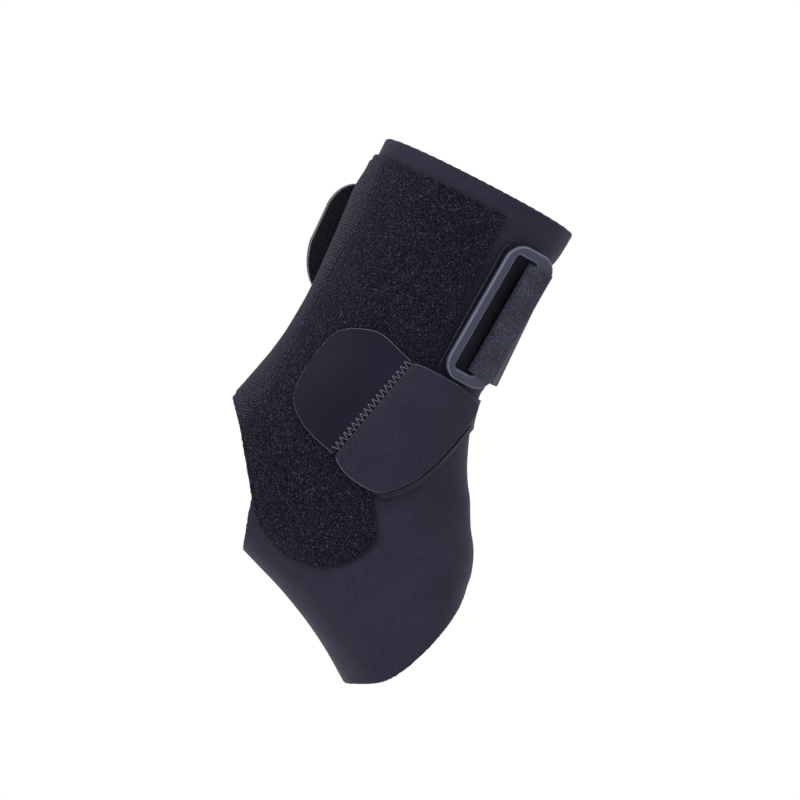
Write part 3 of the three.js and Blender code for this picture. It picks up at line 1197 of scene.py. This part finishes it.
@dataclass
class FasteningPanel:
    """The fuzzy panel round the back of the shaft, with a round lobe under the ankle."""

    sleeve: Sleeve
    thickness: float = 2.5
    below_rim: float = 9.0
    front_x: float = 20.5
    ring_foot_z: float = 43.3
    lobe_radius: float = 31.0
    lobe_x: float = 1.5
    lobe_z: float = -29.5
    fray: float = 0.3
    border: float = 2.4
    stitch: float = 2.7
    stitch_pitch: float = 3.5
    seam: tuple = ((-41.2, 114.1), (-39.7, 98.6), (-39.5, 82.5), (-40.8, 69.1), (-40.9, 47.8),
                   (-40.8, 22.0), (-41.6, 4.9), (-42.7, -11.4), (-44.3, -15.3))

    def outline(self) -> list:
        """The panel's outline.

        Returns:
            A closed outline in X and Z that runs past the back of the brace.
        """
        top = FORM.rim_height - self.below_rim
        turns = np.radians(12 - 164 * np.linspace(0, 1, 49))[6:]
        lobe = [(self.lobe_x + self.lobe_radius * math.cos(turn),
                 self.lobe_z + self.lobe_radius * math.sin(turn)) for turn in turns]
        waist = (self.front_x + 1.2, self.lobe_z + 0.37 * self.lobe_radius)
        return [(-BEYOND, top), (self.front_x - 2.5, top), (self.front_x, self.ring_foot_z), waist,
                *lobe, (-BEYOND, lobe[-1][1])]

    def frayed(self, spots: Array, inside: Array) -> Array:
        """Roughens the panel's edge, as overlocked pile is.

        Args:
            spots: points in millimetres.
            inside: their distance from the plain edge.

        Returns:
            Their distance from the rough edge.
        """
        x, z = spots[:, 0], spots[:, 2]
        return inside - 0.12 + self.fray * (np.sin(5.1 * x + 1.3 * z) * np.sin(4.7 * z - 2 * x))

    def seam_x(self, z: Array) -> Array:
        """The X of the topstitched seam.

        Args:
            z: heights.

        Returns:
            The seam's X at each height.
        """
        rows = np.array(self.seam)[::-1]
        return np.interp(z, rows[:, 1], rows[:, 0])

    def relief(self, spots: Array, inside: Array) -> Array:
        """The flattened border, the pull of the seam and the uneven pile.

        Args:
            spots: points in millimetres.
            inside: their distance from the panel's edge.

        Returns:
            Heights over the plain face.
        """
        border = -0.7 * (1 - ease(inside, self.border, 1.5 * self.border))
        seam = np.abs(spots[:, 0] - self.seam_x(spots[:, 2]))
        pull = -0.7 * np.exp(-(seam / 1.0) ** 2)
        strip = -0.45 * (spots[:, 0] < self.seam_x(spots[:, 2]))
        return border + pull + strip + 0.12 * ripple(spots, 9)

    def build(self) -> list[bpy.types.Object]:
        """Makes the panel and its topstitching.

        Returns:
            Their pieces.
        """
        skin = Skin(
            low=CLEARANCE, high=CLEARANCE + self.thickness, turns=(28, 332), cells=(250, 230),
            region=lambda spots: self.frayed(spots, np.minimum(
                depth_inside(self.outline(), spots[:, 0], spots[:, 2]),
                self.sleeve.open_depth(spots))),
            relief=self.relief, split=lambda spots: spots[:, 0] - self.seam_x(spots[:, 2]),
            edge=0.9, rim=self.border, looks=(0, 0, 0, 1))
        panel = Piece("brace_panel", "loop_panel", Slot.LOOP, (LoopPile(), RibbedEdge()),
                      flat=(0.22, 0.18), area=0.0290)
        return [panel.make(skin.shell()), self.topstitch()]

    def topstitch(self) -> bpy.types.Object:
        """Sews the seam with single stitches.

        Returns:
            The stitches.
        """
        z = np.linspace(112.5, -13.5, 2400)
        line = FORM.outer(self.seam_x(z), z, CLEARANCE + self.thickness - 0.55)
        length = run_length(line)
        runs = []
        for start in np.arange(0.6, length[-1] - 3.2, self.stitch_pitch):
            along = start + np.linspace(0, self.stitch, 6)
            run = np.stack([np.interp(along, length, line[:, k]) for k in range(3)], axis=1)
            run[:, 1] -= 0.28 * np.sin(np.linspace(0, math.pi, 6)) - 0.05
            runs.append(run)
        black = Thread(dark=(0.003, 0.003, 0.004), light=(0.020, 0.018, 0.023))
        return Piece("panel_topstitch", None, Slot.WEBBING, (black,)).make(tubes(runs, 0.24))


@dataclass
class LowerStrap:
    """The crossing strap: an under strap round the front, and an end with a hook tab."""

    under_back: float = 23.9
    under: float = 2.3
    over_panel: float = 3.1
    leaf: float = 2.5
    hook: float = 1.5
    seam_top: tuple = (0.133, 0.329)
    seam_foot: tuple = (-0.021, -0.082)
    zigzag_width: float = 3.85
    zigzag_inset: float = 0.35
    # Radius of the near-black tubes that paint the shade in the seam's gap and under the strap end's
    # edge
    shadow_line_radius: float = 0.46

    @staticmethod
    def sized(rows: Outline) -> list:
        """Turns shares into millimetres.

        Args:
            rows: X as shares of the foot's reach, Z as shares of the rim's height.

        Returns:
            The points.
        """
        return [(x * FORM.foot_reach, z * FORM.rim_height) for x, z in rows]

    def hook_outline(self) -> list:
        """The hook tab's outline.

        Returns:
            A closed outline in X and Z.
        """
        rows = (self.seam_top, (0.022, 0.348), (-0.100, 0.374), (-0.214, 0.353), (-0.315, 0.320),
                (-0.362, 0.261), (-0.400, 0.128), (-0.381, 0.034), (-0.344, 0.001), (-0.262, -0.040),
                (-0.142, -0.066), self.seam_foot)
        return rounded_run(smooth_outline(self.sized(rows), 90), 26).tolist()

    def leaf_outline(self) -> list:
        """The strap end's outline.

        Returns:
            A closed outline in X and Z.
        """
        top = (self.seam_top, (0.224, 0.335), (0.349, 0.335), (0.470, 0.329), (0.568, 0.306))
        foot = ((0.582, 0.298), (0.586, 0.254), (0.560, 0.169), (0.519, 0.071), (0.467, -0.013),
                (0.404, -0.070), (0.329, -0.119), (0.258, -0.134), (0.173, -0.133), (0.061, -0.121),
                self.seam_foot)
        lower = rounded_run(smooth_outline(self.sized(foot), 80), 18)
        return [*smooth_outline(self.sized(top), 30).tolist(), *lower.tolist()]

    def under_depth(self, spots: Array) -> Array:
        """How far points lie inside the under strap.

        Args:
            spots: points in millimetres.

        Returns:
            Millimetres, negative outside.
        """
        shared = ((0.480, 0.330), (0.760, 0.314), (0.760, 0.252), (0.640, 0.252))
        foot = ((0.606, 0.190), (0.582, 0.135), (0.548, 0.050), (0.498, -0.032), (0.430, -0.090),
                (0.345, -0.140))
        outer = [(self.under_back, 0.335 * FORM.rim_height), *self.sized(shared), *self.sized(foot),
                 (self.under_back, -0.143 * FORM.rim_height)]
        inner = [(self.under_back, 0.345 * FORM.rim_height), *self.sized(shared),
                 *self.sized(((0.560, 0.180),)), (self.under_back, 0.085 * FORM.rim_height)]
        x, z = spots[:, 0], spots[:, 2]
        return np.where(spots[:, 1] <= 0.25, depth_inside(outer, x, z), depth_inside(inner, x, z))

    def seam_axes(self) -> tuple[Array, Array, Array, Array]:
        """The seam between the tab and the strap end.

        Returns:
            Its top, its foot, the way along it and the way towards the tab, in X and Z.
        """
        top, foot = np.array(self.sized((self.seam_top, self.seam_foot)))
        ahead = (foot - top) / np.linalg.norm(foot - top)
        return top, foot, ahead, np.array([ahead[1], -ahead[0]])

    def zigzag(self) -> bpy.types.Object:
        """Sews the tab to the strap end with a zigzag.

        Returns:
            The stitches.
        """
        top, foot, ahead, aside = self.seam_axes()
        margin = 0.8
        count = int((np.linalg.norm(foot - top) - 2 * margin) / STITCH_PITCH)
        corners = np.array([top + ahead * (margin + k * STITCH_PITCH)
                            + aside * (k % 2 * self.zigzag_width - self.zigzag_inset)
                            for k in range(count + 1)])
        runs = []
        for start, end in zip(corners[:-1], corners[1:]):
            share = np.linspace(0, 1, 9)[:, None]
            flat = start + (end - start) * share
            lift = self.over_panel + self.hook + stitch_height(share[:, 0])
            runs.append(FORM.outer(flat[:, 0], flat[:, 1], lift))
        return Piece("tab_zigzag", None, Slot.WEBBING, (Thread(),)).make(tubes(runs, STITCH_RADIUS))

    def painted_shadow_lines(self) -> bpy.types.Object:
        """Paints shade along the tab's seam and under the strap end's lower edge: near-black tubes that
        stand in for the shadow in these gaps.

        Returns:
            The painted shadow lines.
        """
        top, foot, _, aside = self.seam_axes()
        seam = top + (foot - top) * np.linspace(0.02, 0.98, 60)[:, None] - aside * 0.6
        edge = np.array(self.leaf_outline())
        x, z = edge[:, 0] / FORM.foot_reach, edge[:, 1] / FORM.rim_height
        edge = edge[(x > 0.25) & (x < 0.58) & (z < 0.24)]
        along = np.gradient(edge, axis=0)
        along /= np.linalg.norm(along, axis=1)[:, None]
        edge = edge + 0.55 * np.stack([-along[:, 1], along[:, 0]], axis=1)
        runs = [FORM.outer(seam[:, 0], seam[:, 1], self.over_panel + self.hook + 0.22),
                FORM.outer(edge[:, 0], edge[:, 1], CLEARANCE + self.under + 0.15)]
        # Near-black: painted shade for the dark gaps along the seam and under the strap end's edge
        dark = Thread(dark=(0.0008, 0.0006, 0.0020), light=(0.0060, 0.0050, 0.0110))
        return Piece("strap_painted_shadow_lines", None, Slot.WEBBING, (dark,)).make(tubes(runs, self.shadow_line_radius))

    def build(self) -> list[bpy.types.Object]:
        """Makes the under strap, the strap end, the hook tab, their stitching and the painted shadow
        lines.

        Returns:
            Their pieces.
        """
        under = Skin(low=CLEARANCE, high=CLEARANCE + self.under, region=self.under_depth,
                     turns=(-100, 100), shares=(0.15, 0.75), cells=(190, 170), edge=1.9,
                     relief=lambda spots, inside: -1.3 * np.exp(-(spots[:, 1] / 20) ** 2))
        grey = FoamCloth(dark=(0.0100, 0.0078, 0.0200), light=(0.0230, 0.0190, 0.0350))
        under_piece = Piece("brace_under_strap", "lower_strap", Slot.NEOPRENE, (grey,),
                            flat=(0.062, 0.075), area=0.0027)
        seam = self.sized((self.seam_top, self.seam_foot))
        bare = 1.1
        leaf = Skin(
            low=self.over_panel, high=self.over_panel + self.leaf, turns=(-150, -12),
            shares=(0.18, 0.85), cells=(190, 190), edge=0.7, looks=(0, 0, 1, 0),
            split=lambda spots: self.line_gap(seam, spots) - bare,
            region=lambda spots: depth_inside(self.leaf_outline(), spots[:, 0], spots[:, 2]),
            relief=lambda spots, inside: (0.14 * ripple(spots, 11)
                                          + ease(self.line_gap(seam, spots), 0.0, 2 * bare) - 1))
        leaf_piece = Piece("brace_strap_end", "strap_end", Slot.NEOPRENE, (FoamCloth(), CutEdge()),
                           flat=(0.050, 0.066), area=0.0024, held=Held.LAID)
        tab = Skin(
            low=self.over_panel, high=self.over_panel + self.hook, turns=(-172, -50),
            shares=(0.18, 0.80), cells=(190, 170), edge=0.75, looks=(0, 1, 2, 0),
            split=lambda spots: self.line_gap(seam, spots) - bare,
            region=lambda spots: depth_inside(self.hook_outline(), spots[:, 0], spots[:, 2]),
            relief=lambda spots, inside: 0.10 * ripple(spots, 16))
        tab_piece = Piece("brace_hook_tab", "hook_tab", Slot.HOOK,
                          (HookFilm(), HookFace(), CutEdge()),
                          flat=(0.042, 0.060), area=0.0019, held=Held.LAID)
        return [under_piece.make(under.shell()), leaf_piece.make(leaf.shell()),
                tab_piece.make(tab.shell()), self.zigzag(), self.painted_shadow_lines()]

    @staticmethod
    def line_gap(line: Outline, spots: Array) -> Array:
        """The distance from a straight seam.

        Args:
            line: its two ends in X and Z.
            spots: points in millimetres.

        Returns:
            Millimetres to the seam.
        """
        (ax, az), (bx, bz) = line
        return np.abs((spots[:, 0] - ax) * (bz - az) - (spots[:, 2] - az) * (bx - ax)) / math.hypot(
            bx - ax, bz - az)


@dataclass
class RingFrame:
    """The plane that the ring lies in, against the outer front of the shaft."""

    height: float = 67.0
    width: float = 26.5
    thickness: float = 3.0
    bar: float = 5.0
    front_bar: float = 10.0
    corner: float = 9.0
    turn: float = math.radians(32)
    middle_z: float = 76.81
    tape: float = 1.2
    standoff: float = 1.55
    panel_front: float = 20.5

    def __post_init__(self) -> None:
        """Finds where the ring stands."""
        self.x = self.panel_front + 2.5 + self.width / 2 * math.cos(self.turn)
        reach = (self.width - self.bar) / 2
        rear_x = self.x - reach * math.cos(self.turn)
        span = self.height - 2 * self.corner
        lift = CLEARANCE + self.tape + self.standoff
        top, foot = FORM.outer([rear_x, rear_x],
                               [self.middle_z + span / 2, self.middle_z - span / 2], lift)[:, 1]
        lean = math.atan((foot - top) * math.cos(self.turn) / span)
        self.matrix = (Matrix.Translation((self.x, (top + foot) / 2 + reach * math.sin(self.turn),
                                           self.middle_z))
                       @ Matrix.Rotation(self.turn, 4, "Z") @ Matrix.Rotation(lean, 4, "X"))

    def point(self, along: Array, up: Array, out: Array) -> Array:
        """Points in the ring's plane.

        Args:
            along: across the ring, positive to the front.
            up: along its height.
            out: out from its inner face.

        Returns:
            The points.
        """
        along, up, out = together(along, up, out)
        local = np.stack([along, -out, up, np.ones(along.shape)], axis=-1)
        return (local @ np.array(self.matrix).T)[..., :3]


def rounded_depth(x: Array, z: Array, half_x: float, half_z: float, corner: float) -> Array:
    """How far points lie inside a rectangle with round corners.

    Args:
        x: the points' X.
        z: the points' Z.
        half_x: half its width.
        half_z: half its height.
        corner: its corner radius.

    Returns:
        The distance, negative outside.
    """
    over_x, over_z = np.abs(x) - half_x + corner, np.abs(z) - half_z + corner
    out = np.hypot(np.maximum(over_x, 0), np.maximum(over_z, 0))
    return corner - out - np.minimum(np.maximum(over_x, over_z), 0)


@dataclass
class StrapRing:
    """The moulded ring and the tape that holds it."""

    frame: RingFrame
    tape_width: float = 12.0
    slant: float = 2.0
    edge: float = 1.1
    slot_corner: float = 2.0
    cells: tuple = (58, 140)
    margin: float = 0.6

    def build(self) -> list[bpy.types.Object]:
        """Makes the ring and its tape.

        Returns:
            Their pieces.
        """
        return [self.ring(), self.tape()]

    def ring(self) -> bpy.types.Object:
        """Makes the ring, with rounded edges that carry a painted highlight.

        Returns:
            The ring.
        """
        ring, rows, columns = self.frame, *self.cells
        half_x, half_z = ring.width / 2 + self.margin, ring.height / 2 + self.margin
        x, z = np.meshgrid(np.linspace(-half_x, half_x, rows), np.linspace(-half_z, half_z, columns),
                           indexing="ij")
        x, z = x.reshape(-1), z.reshape(-1)
        slot_x = x - (ring.bar - ring.front_bar) / 2
        slot_half = (ring.width - ring.bar - ring.front_bar) / 2
        inside = np.minimum(
            rounded_depth(x, z, ring.width / 2, ring.height / 2, ring.corner),
            -rounded_depth(slot_x, z, slot_half, ring.height / 2 - ring.bar, self.slot_corner))
        sheet = Cutter(np.stack([x, z], axis=1), inside[:, None], grid_faces(rows, columns))
        sheet.cut(0, 0.0, 0.06, drop=True)
        for level in (0.06, 0.25, 0.6, self.edge):
            sheet.cut(0, level, 0.03)
        data, faces = sheet.packed()
        along, up, inside = data.T
        full = round_edge(inside, self.edge) * (0.93 + 0.07 * ease(inside, 0.5, 2 * self.edge))
        half = ring.thickness / 2
        # Painted highlight: a paler band on the rounding of each edge
        edge_highlight = ease(inside, 0.05, 0.30) * (1 - ease(inside, 0.55, 1.05))
        shell = Shell()
        cloth = np.stack([along, up], axis=1)
        for side, order in ((1, faces), (-1, faces[:, ::-1])):
            shell.add(ring.point(along, up, half + side * half * full), cloth, order,
                      np.zeros(len(faces), int), edge_highlight)
        return Piece("brace_ring", "ring", Slot.PLASTIC, (Moulded(),)).make(shell)

    def tape(self) -> bpy.types.Object:
        """Makes the tape under the ring's rear bar; its faces are painted near black as shade under the
        ring and in its slot.

        Returns:
            The tape.
        """
        ring = self.frame
        back, front = ring.panel_front + CLEARANCE, ring.panel_front + CLEARANCE + self.tape_width
        low, high = ring.middle_z - ring.height / 2 + 1, ring.middle_z + ring.height / 2 - 4
        outline = [(back, low), (front, low), (front + self.slant, high), (back + self.slant, high)]
        tape = Skin(low=CLEARANCE, high=CLEARANCE + ring.tape, turns=(-85, -20), shares=(0.05, 0.5),
                    cells=(140, 60), edge=0.6, looks=(0, 0, 1, 0),
                    region=lambda spots: depth_inside(outline, spots[:, 0], spots[:, 2]))
        # Painted shade: the faces are near black for the dark under the ring and in its slot; the rim
        # keeps the plain webbing colour
        dark = WovenWeb(dark=(0.0008, 0.0006, 0.0034), light=(0.0110, 0.0100, 0.0220))
        return Piece("brace_ring_tape", "ring_tape", Slot.WEBBING, (dark, WovenWeb()),
                     flat=(0.0155, 0.065), area=0.0010, held=Held.LAID).make(tape.shell())


def band(near: Array, far: Array, gaps: Array, looks: tuple[int, int, int], edge: float) -> Shell:
    """A closed band.

    Args:
        near: points of its near face, in rows along and columns over its width.
        far: points of its far face.
        gaps: each point's distance from the band's nearest edge.
        looks: material numbers of the near face, the far face and the edge.
        edge: the distance over which its edges are rounded.

    Returns:
        The shell.
    """
    rows, columns = gaps.shape
    faces = grid_faces(rows, columns)
    middle = (near + far) / 2
    full = round_edge(gaps, edge)[..., None]
    length = np.linalg.norm(np.diff(middle, axis=0), axis=2).mean(axis=1)
    width = np.linalg.norm(np.diff(middle, axis=1), axis=2).mean(axis=0)
    across, along = (np.concatenate([[0], np.cumsum(steps)]) for steps in (width, length))
    cloth = np.stack(np.meshgrid(across, along), axis=-1).reshape(-1, 2)
    on_rim = gaps.reshape(-1)[faces].max(axis=1) <= 0.5 * edge
    shell = Shell()
    for face, look, order in ((near, looks[0], faces), (far, looks[1], faces[:, ::-1])):
        points = middle + (face - middle) * full
        shell.add(points.reshape(-1, 3), cloth, order, np.where(on_rim, looks[2], look))
    return shell


def close_rows(length: float, step: float, edge: float) -> Array:
    """Places over a length, closer together at both ends.

    Args:
        length: the length.
        step: the step in the middle.
        edge: the part at each end that is rounded.

    Returns:
        The places, from 0 to length.
    """
    ends = np.array([0, 0.06, 0.2, 0.5, 1.0]) * edge
    middle = np.linspace(edge, length - edge, max(3, int((length - 2 * edge) / step)))
    return np.concatenate([ends[:-1], middle, length - ends[-2::-1]])


@dataclass
class UpperStrap:
    """The strap threaded through the ring, and the hook tab at its end."""

    frame: RingFrame
    slack: float = 1.25
    thickness: float = 1.6
    over_panel: float = 3.1
    sewn_turn: float = math.radians(50)
    bridge_turn: float = math.radians(-16)
    tab_turn: float = math.radians(118)
    leave_turn: float = math.radians(139)
    free: float = 26.0
    rise: float = 3.0
    corner: float = 21.0
    edge: float = 0.5
    taut_turn: float = 0.1
    taut_reach: float = 0.5
    zigzag_half: float = 25.6
    zigzag_turn: float = 3.4 / 41.0

    def __post_init__(self) -> None:
        """Finds the strap's width."""
        self.width = self.frame.height - 2 * self.frame.bar - 2 * self.slack

    def run(self, heights: Array) -> tuple[Array, Array]:
        """The strap's faces along its run.

        Args:
            heights: its rows' heights.

        Returns:
            The points of the near and of the far face, in rows along and columns over the heights.
        """
        ring = self.frame
        near, far = [], []
        for turn in np.linspace(self.sewn_turn, self.bridge_turn, 44):
            near.append(FORM.shaft(heights, turn, CLEARANCE + self.thickness))
            far.append(FORM.shaft(heights, turn, CLEARANCE))
        bar_edge, middle = ring.width / 2 - ring.front_bar, ring.thickness / 2
        up = heights - ring.middle_z
        stops = [((along, -CLEARANCE), (along, -CLEARANCE - self.thickness))
                 for along in np.linspace(ring.width / 2 - 1, bar_edge + 1, 6)]
        for angle in np.linspace(-0.5, -1.5, 17) * math.pi:
            way = np.array([math.cos(angle), math.sin(angle)])
            hub, radius = np.array([bar_edge, middle]), middle + CLEARANCE
            stops.append((tuple(hub + radius * way), tuple(hub + (radius + self.thickness) * way)))
        top = ring.thickness + CLEARANCE
        stops += [((along, top), (along, top + self.thickness))
                  for along in np.linspace(bar_edge + 1, ring.width / 2 + CLEARANCE, 8)]
        for inner, outer in stops:
            near.append(ring.point(inner[0], up, inner[1]))
            far.append(ring.point(outer[0], up, outer[1]))
        seam = 0.4 / (FORM.collar_width / 2)
        level = (heights - heights[0]) / (heights[-1] - heights[0])
        for turn in np.linspace(self.bridge_turn, self.tab_turn - seam, 130):
            taut = math.exp(-((turn - self.taut_turn) / self.taut_reach) ** 2)
            for face, lift in ((near, self.over_panel), (far, self.over_panel + self.thickness)):
                points = FORM.shaft(heights, turn, lift)
                chord = points[0] + level[:, None] * (points[-1] - points[0])
                face.append(points + taut * (chord - points))
        return rounded_run(near, 3), rounded_run(far, 3)

    def build(self) -> list[bpy.types.Object]:
        """Makes the strap, its tab and the stitches between them.

        Returns:
            Their pieces.
        """
        rows = close_rows(self.width, 0.9, self.edge)
        near, far = self.run(self.frame.middle_z - self.width / 2 + rows)
        length = run_length(far[:, 8])
        side = np.minimum(rows, self.width - rows)[None, :]
        end = np.minimum(length, length[-1] - length)[:, None]
        gaps = np.minimum(side, np.where(end < 1e-6, 0, end + 0.3))
        strap = Piece("brace_upper_strap", "upper_strap", Slot.WEBBING, (WovenWeb(),),
                      flat=(0.0545, 0.212))
        return [strap.make(band(near, far, gaps, (0, 0, 0), self.edge)), self.tab(), self.stitch()]

    def stitch(self) -> bpy.types.Object:
        """Sews the tab to the strap with a zigzag.

        Returns:
            The stitches.
        """
        up = np.arange(-self.zigzag_half, self.zigzag_half + 0.1, STITCH_PITCH)
        heights = self.frame.middle_z + up
        runs = []
        for k, (low, high) in enumerate(zip(heights[:-1], heights[1:])):
            share = np.linspace(0, 1, 9)
            turn = self.tab_turn - 0.004 + self.zigzag_turn * (share if k % 2 else 1 - share)
            lift = self.over_panel + self.thickness + stitch_height(share)
            runs.append(FORM.shaft(low + (high - low) * share, turn, lift))
        return Piece("upper_tab_zigzag", None, Slot.WEBBING, (Thread(),)).make(
            tubes(runs, STITCH_RADIUS))

    def tab(self) -> bpy.types.Object:
        """Makes the hook tab, which leaves the curve of the shaft and stands off it.

        Returns:
            The tab.
        """
        shares = np.concatenate([np.linspace(0, 0.03, 5)[:-1], np.linspace(0.03, 0.97, 66)[:-1],
                                 1 - 0.03 * (1 - np.linspace(0, 1, 12)) ** 2])
        wrap_share = 4 / 14
        rows = close_rows(1.0, 0.018, 0.012)
        near, far, gaps = [], [], []
        for share in shares:
            free = max(0.0, (share - wrap_share) / (1 - wrap_share))
            gone = free ** 0.7
            left = (1 - gone) * self.free
            inset = max(0.0, self.corner - left)
            half = self.width / 2 - self.corner + math.sqrt(max(self.corner ** 2 - inset ** 2, 0.0))
            heights = self.frame.middle_z + self.rise * free + (2 * rows - 1) * half
            turn = self.tab_turn + min(1.0, share / wrap_share) * (self.leave_turn - self.tab_turn)
            faces = [FORM.shaft(heights, turn, self.over_panel + part * self.thickness)
                     for part in (0, 1)]
            if free > 0:
                ahead = (FORM.shaft(heights, self.leave_turn + 0.02, self.over_panel)
                         - FORM.shaft(heights, self.leave_turn, self.over_panel))
                ahead /= np.linalg.norm(ahead, axis=1)[:, None]
                faces = [face + ahead * (gone * self.free) for face in faces]
            near.append(faces[0])
            far.append(faces[1])
            to_end = min(share * 20.0, left)
            gaps.append(np.minimum(np.minimum(rows, 1 - rows) * 2 * half, to_end))
        shell = band(np.array(near), np.array(far), np.array(gaps), (0, 1, 2), 0.4)
        return Piece("brace_upper_tab", "upper_hook_tab", Slot.HOOK,
                     (HookFace(), HookFilm(), CutEdge()),
                     flat=(0.0545, 0.045), area=0.0021, held=Held.LAID).make(shell)


@dataclass
class Studio:
    """White surroundings, soft light and the camera."""

    middle: tuple = (12.8, 0.0, 24.3)
    distance: float = 1.5
    roll: float = math.radians(27.3)
    floor_z: float = -0.45
    lens: float = 150.0
    sensor: float = 36.0

    def build(self) -> None:
        """Sets the stage."""
        scene = bpy.context.scene
        scene.view_settings.view_transform = "Standard"
        world = bpy.data.worlds.new("surroundings")
        world.use_nodes = True
        sky = world.node_tree.nodes["Background"]
        sky.inputs["Color"].default_value = (1.0, 1.0, 1.0, 1.0)
        sky.inputs["Strength"].default_value = 1.0
        scene.world = world
        bpy.ops.mesh.primitive_circle_add(vertices=96, radius=1.0, fill_type="NGON",
                                          location=(0, 0, self.floor_z))
        floor = bpy.context.object
        floor.name = "floor"
        shader = Shader("floor_paper")
        grain = shader.noise(40, 3).clamped(0.2, 0.8)
        shader.set(Base_Color=shader.mix(grain, (0.86,) * 3, (0.89,) * 3), Roughness=0.9)
        floor.data.materials.append(shader.material)
        right = np.array([math.cos(self.roll), 0, math.sin(self.roll)])
        up = np.array([-math.sin(self.roll), 0, math.cos(self.roll)])
        centre = np.array(self.middle) * MM
        lamps = [self.lamp("key", centre - 0.75 * right + 0.9 * up, -1.0, 1.1, 16),
                 self.lamp("fill", centre + 1.1 * right + 0.3 * up, -0.9, 1.4, 5),
                 self.lamp("rim", centre + 0.5 * right + 1.0 * up, 0.9, 0.9, 8)]
        data = bpy.data.cameras.new("camera")
        data.lens, data.sensor_width = self.lens, self.sensor
        data.clip_end = 20.0
        camera = bpy.data.objects.new("camera", data)
        columns = np.eye(4)
        columns[:3, 0], columns[:3, 1], columns[:3, 2] = right, up, (0, -1, 0)
        columns[:3, 3] = centre + np.array([0, -self.distance, 0])
        camera.matrix_world = Matrix(columns.tolist())
        bpy.context.collection.objects.link(camera)
        scene.camera = camera

    def lamp(self, name: str, place: Array, y: float, size: float, power: float) -> bpy.types.Object:
        """Adds a soft lamp that faces the brace.

        Args:
            name: its name.
            place: its place in X and Z.
            y: its place in Y.
            size: the side of its square face.
            power: its power in watts.

        Returns:
            The lamp.
        """
        data = bpy.data.lights.new(name, "AREA")
        data.size, data.energy = size, power
        lamp = bpy.data.objects.new(name, data)
        spot = np.array([place[0], y, place[2]])
        away = spot - np.array(self.middle) * MM
        away /= np.linalg.norm(away)
        side = np.cross([0.0, 0.0, 1.0], away)
        side /= np.linalg.norm(side)
        aim = Matrix(np.stack([side, np.cross(away, side), away], axis=1).tolist()).to_4x4()
        aim.translation = spot.tolist()
        lamp.matrix_world = aim
        bpy.context.collection.objects.link(lamp)
        return lamp


def report(piece: bpy.types.Object) -> None:
    """Logs a piece's triangles and the area of one of its faces."""
    areas = np.empty(len(piece.data.polygons))
    piece.data.polygons.foreach_get("area", areas)
    log.info("%s: %d triangles, %.4f m2 a side", piece.name, len(areas), areas.sum() / 2)


def main() -> None:
    """Dresses the frame."""
    logging.basicConfig(level=logging.INFO, format="%(message)s")
    sleeve, ring = Sleeve(), RingFrame()
    for part in (sleeve, FasteningPanel(sleeve), LowerStrap(), StrapRing(ring), UpperStrap(ring)):
        for piece in part.build():
            report(piece)
    Studio().build()


if __name__ == "__main__":
    main()
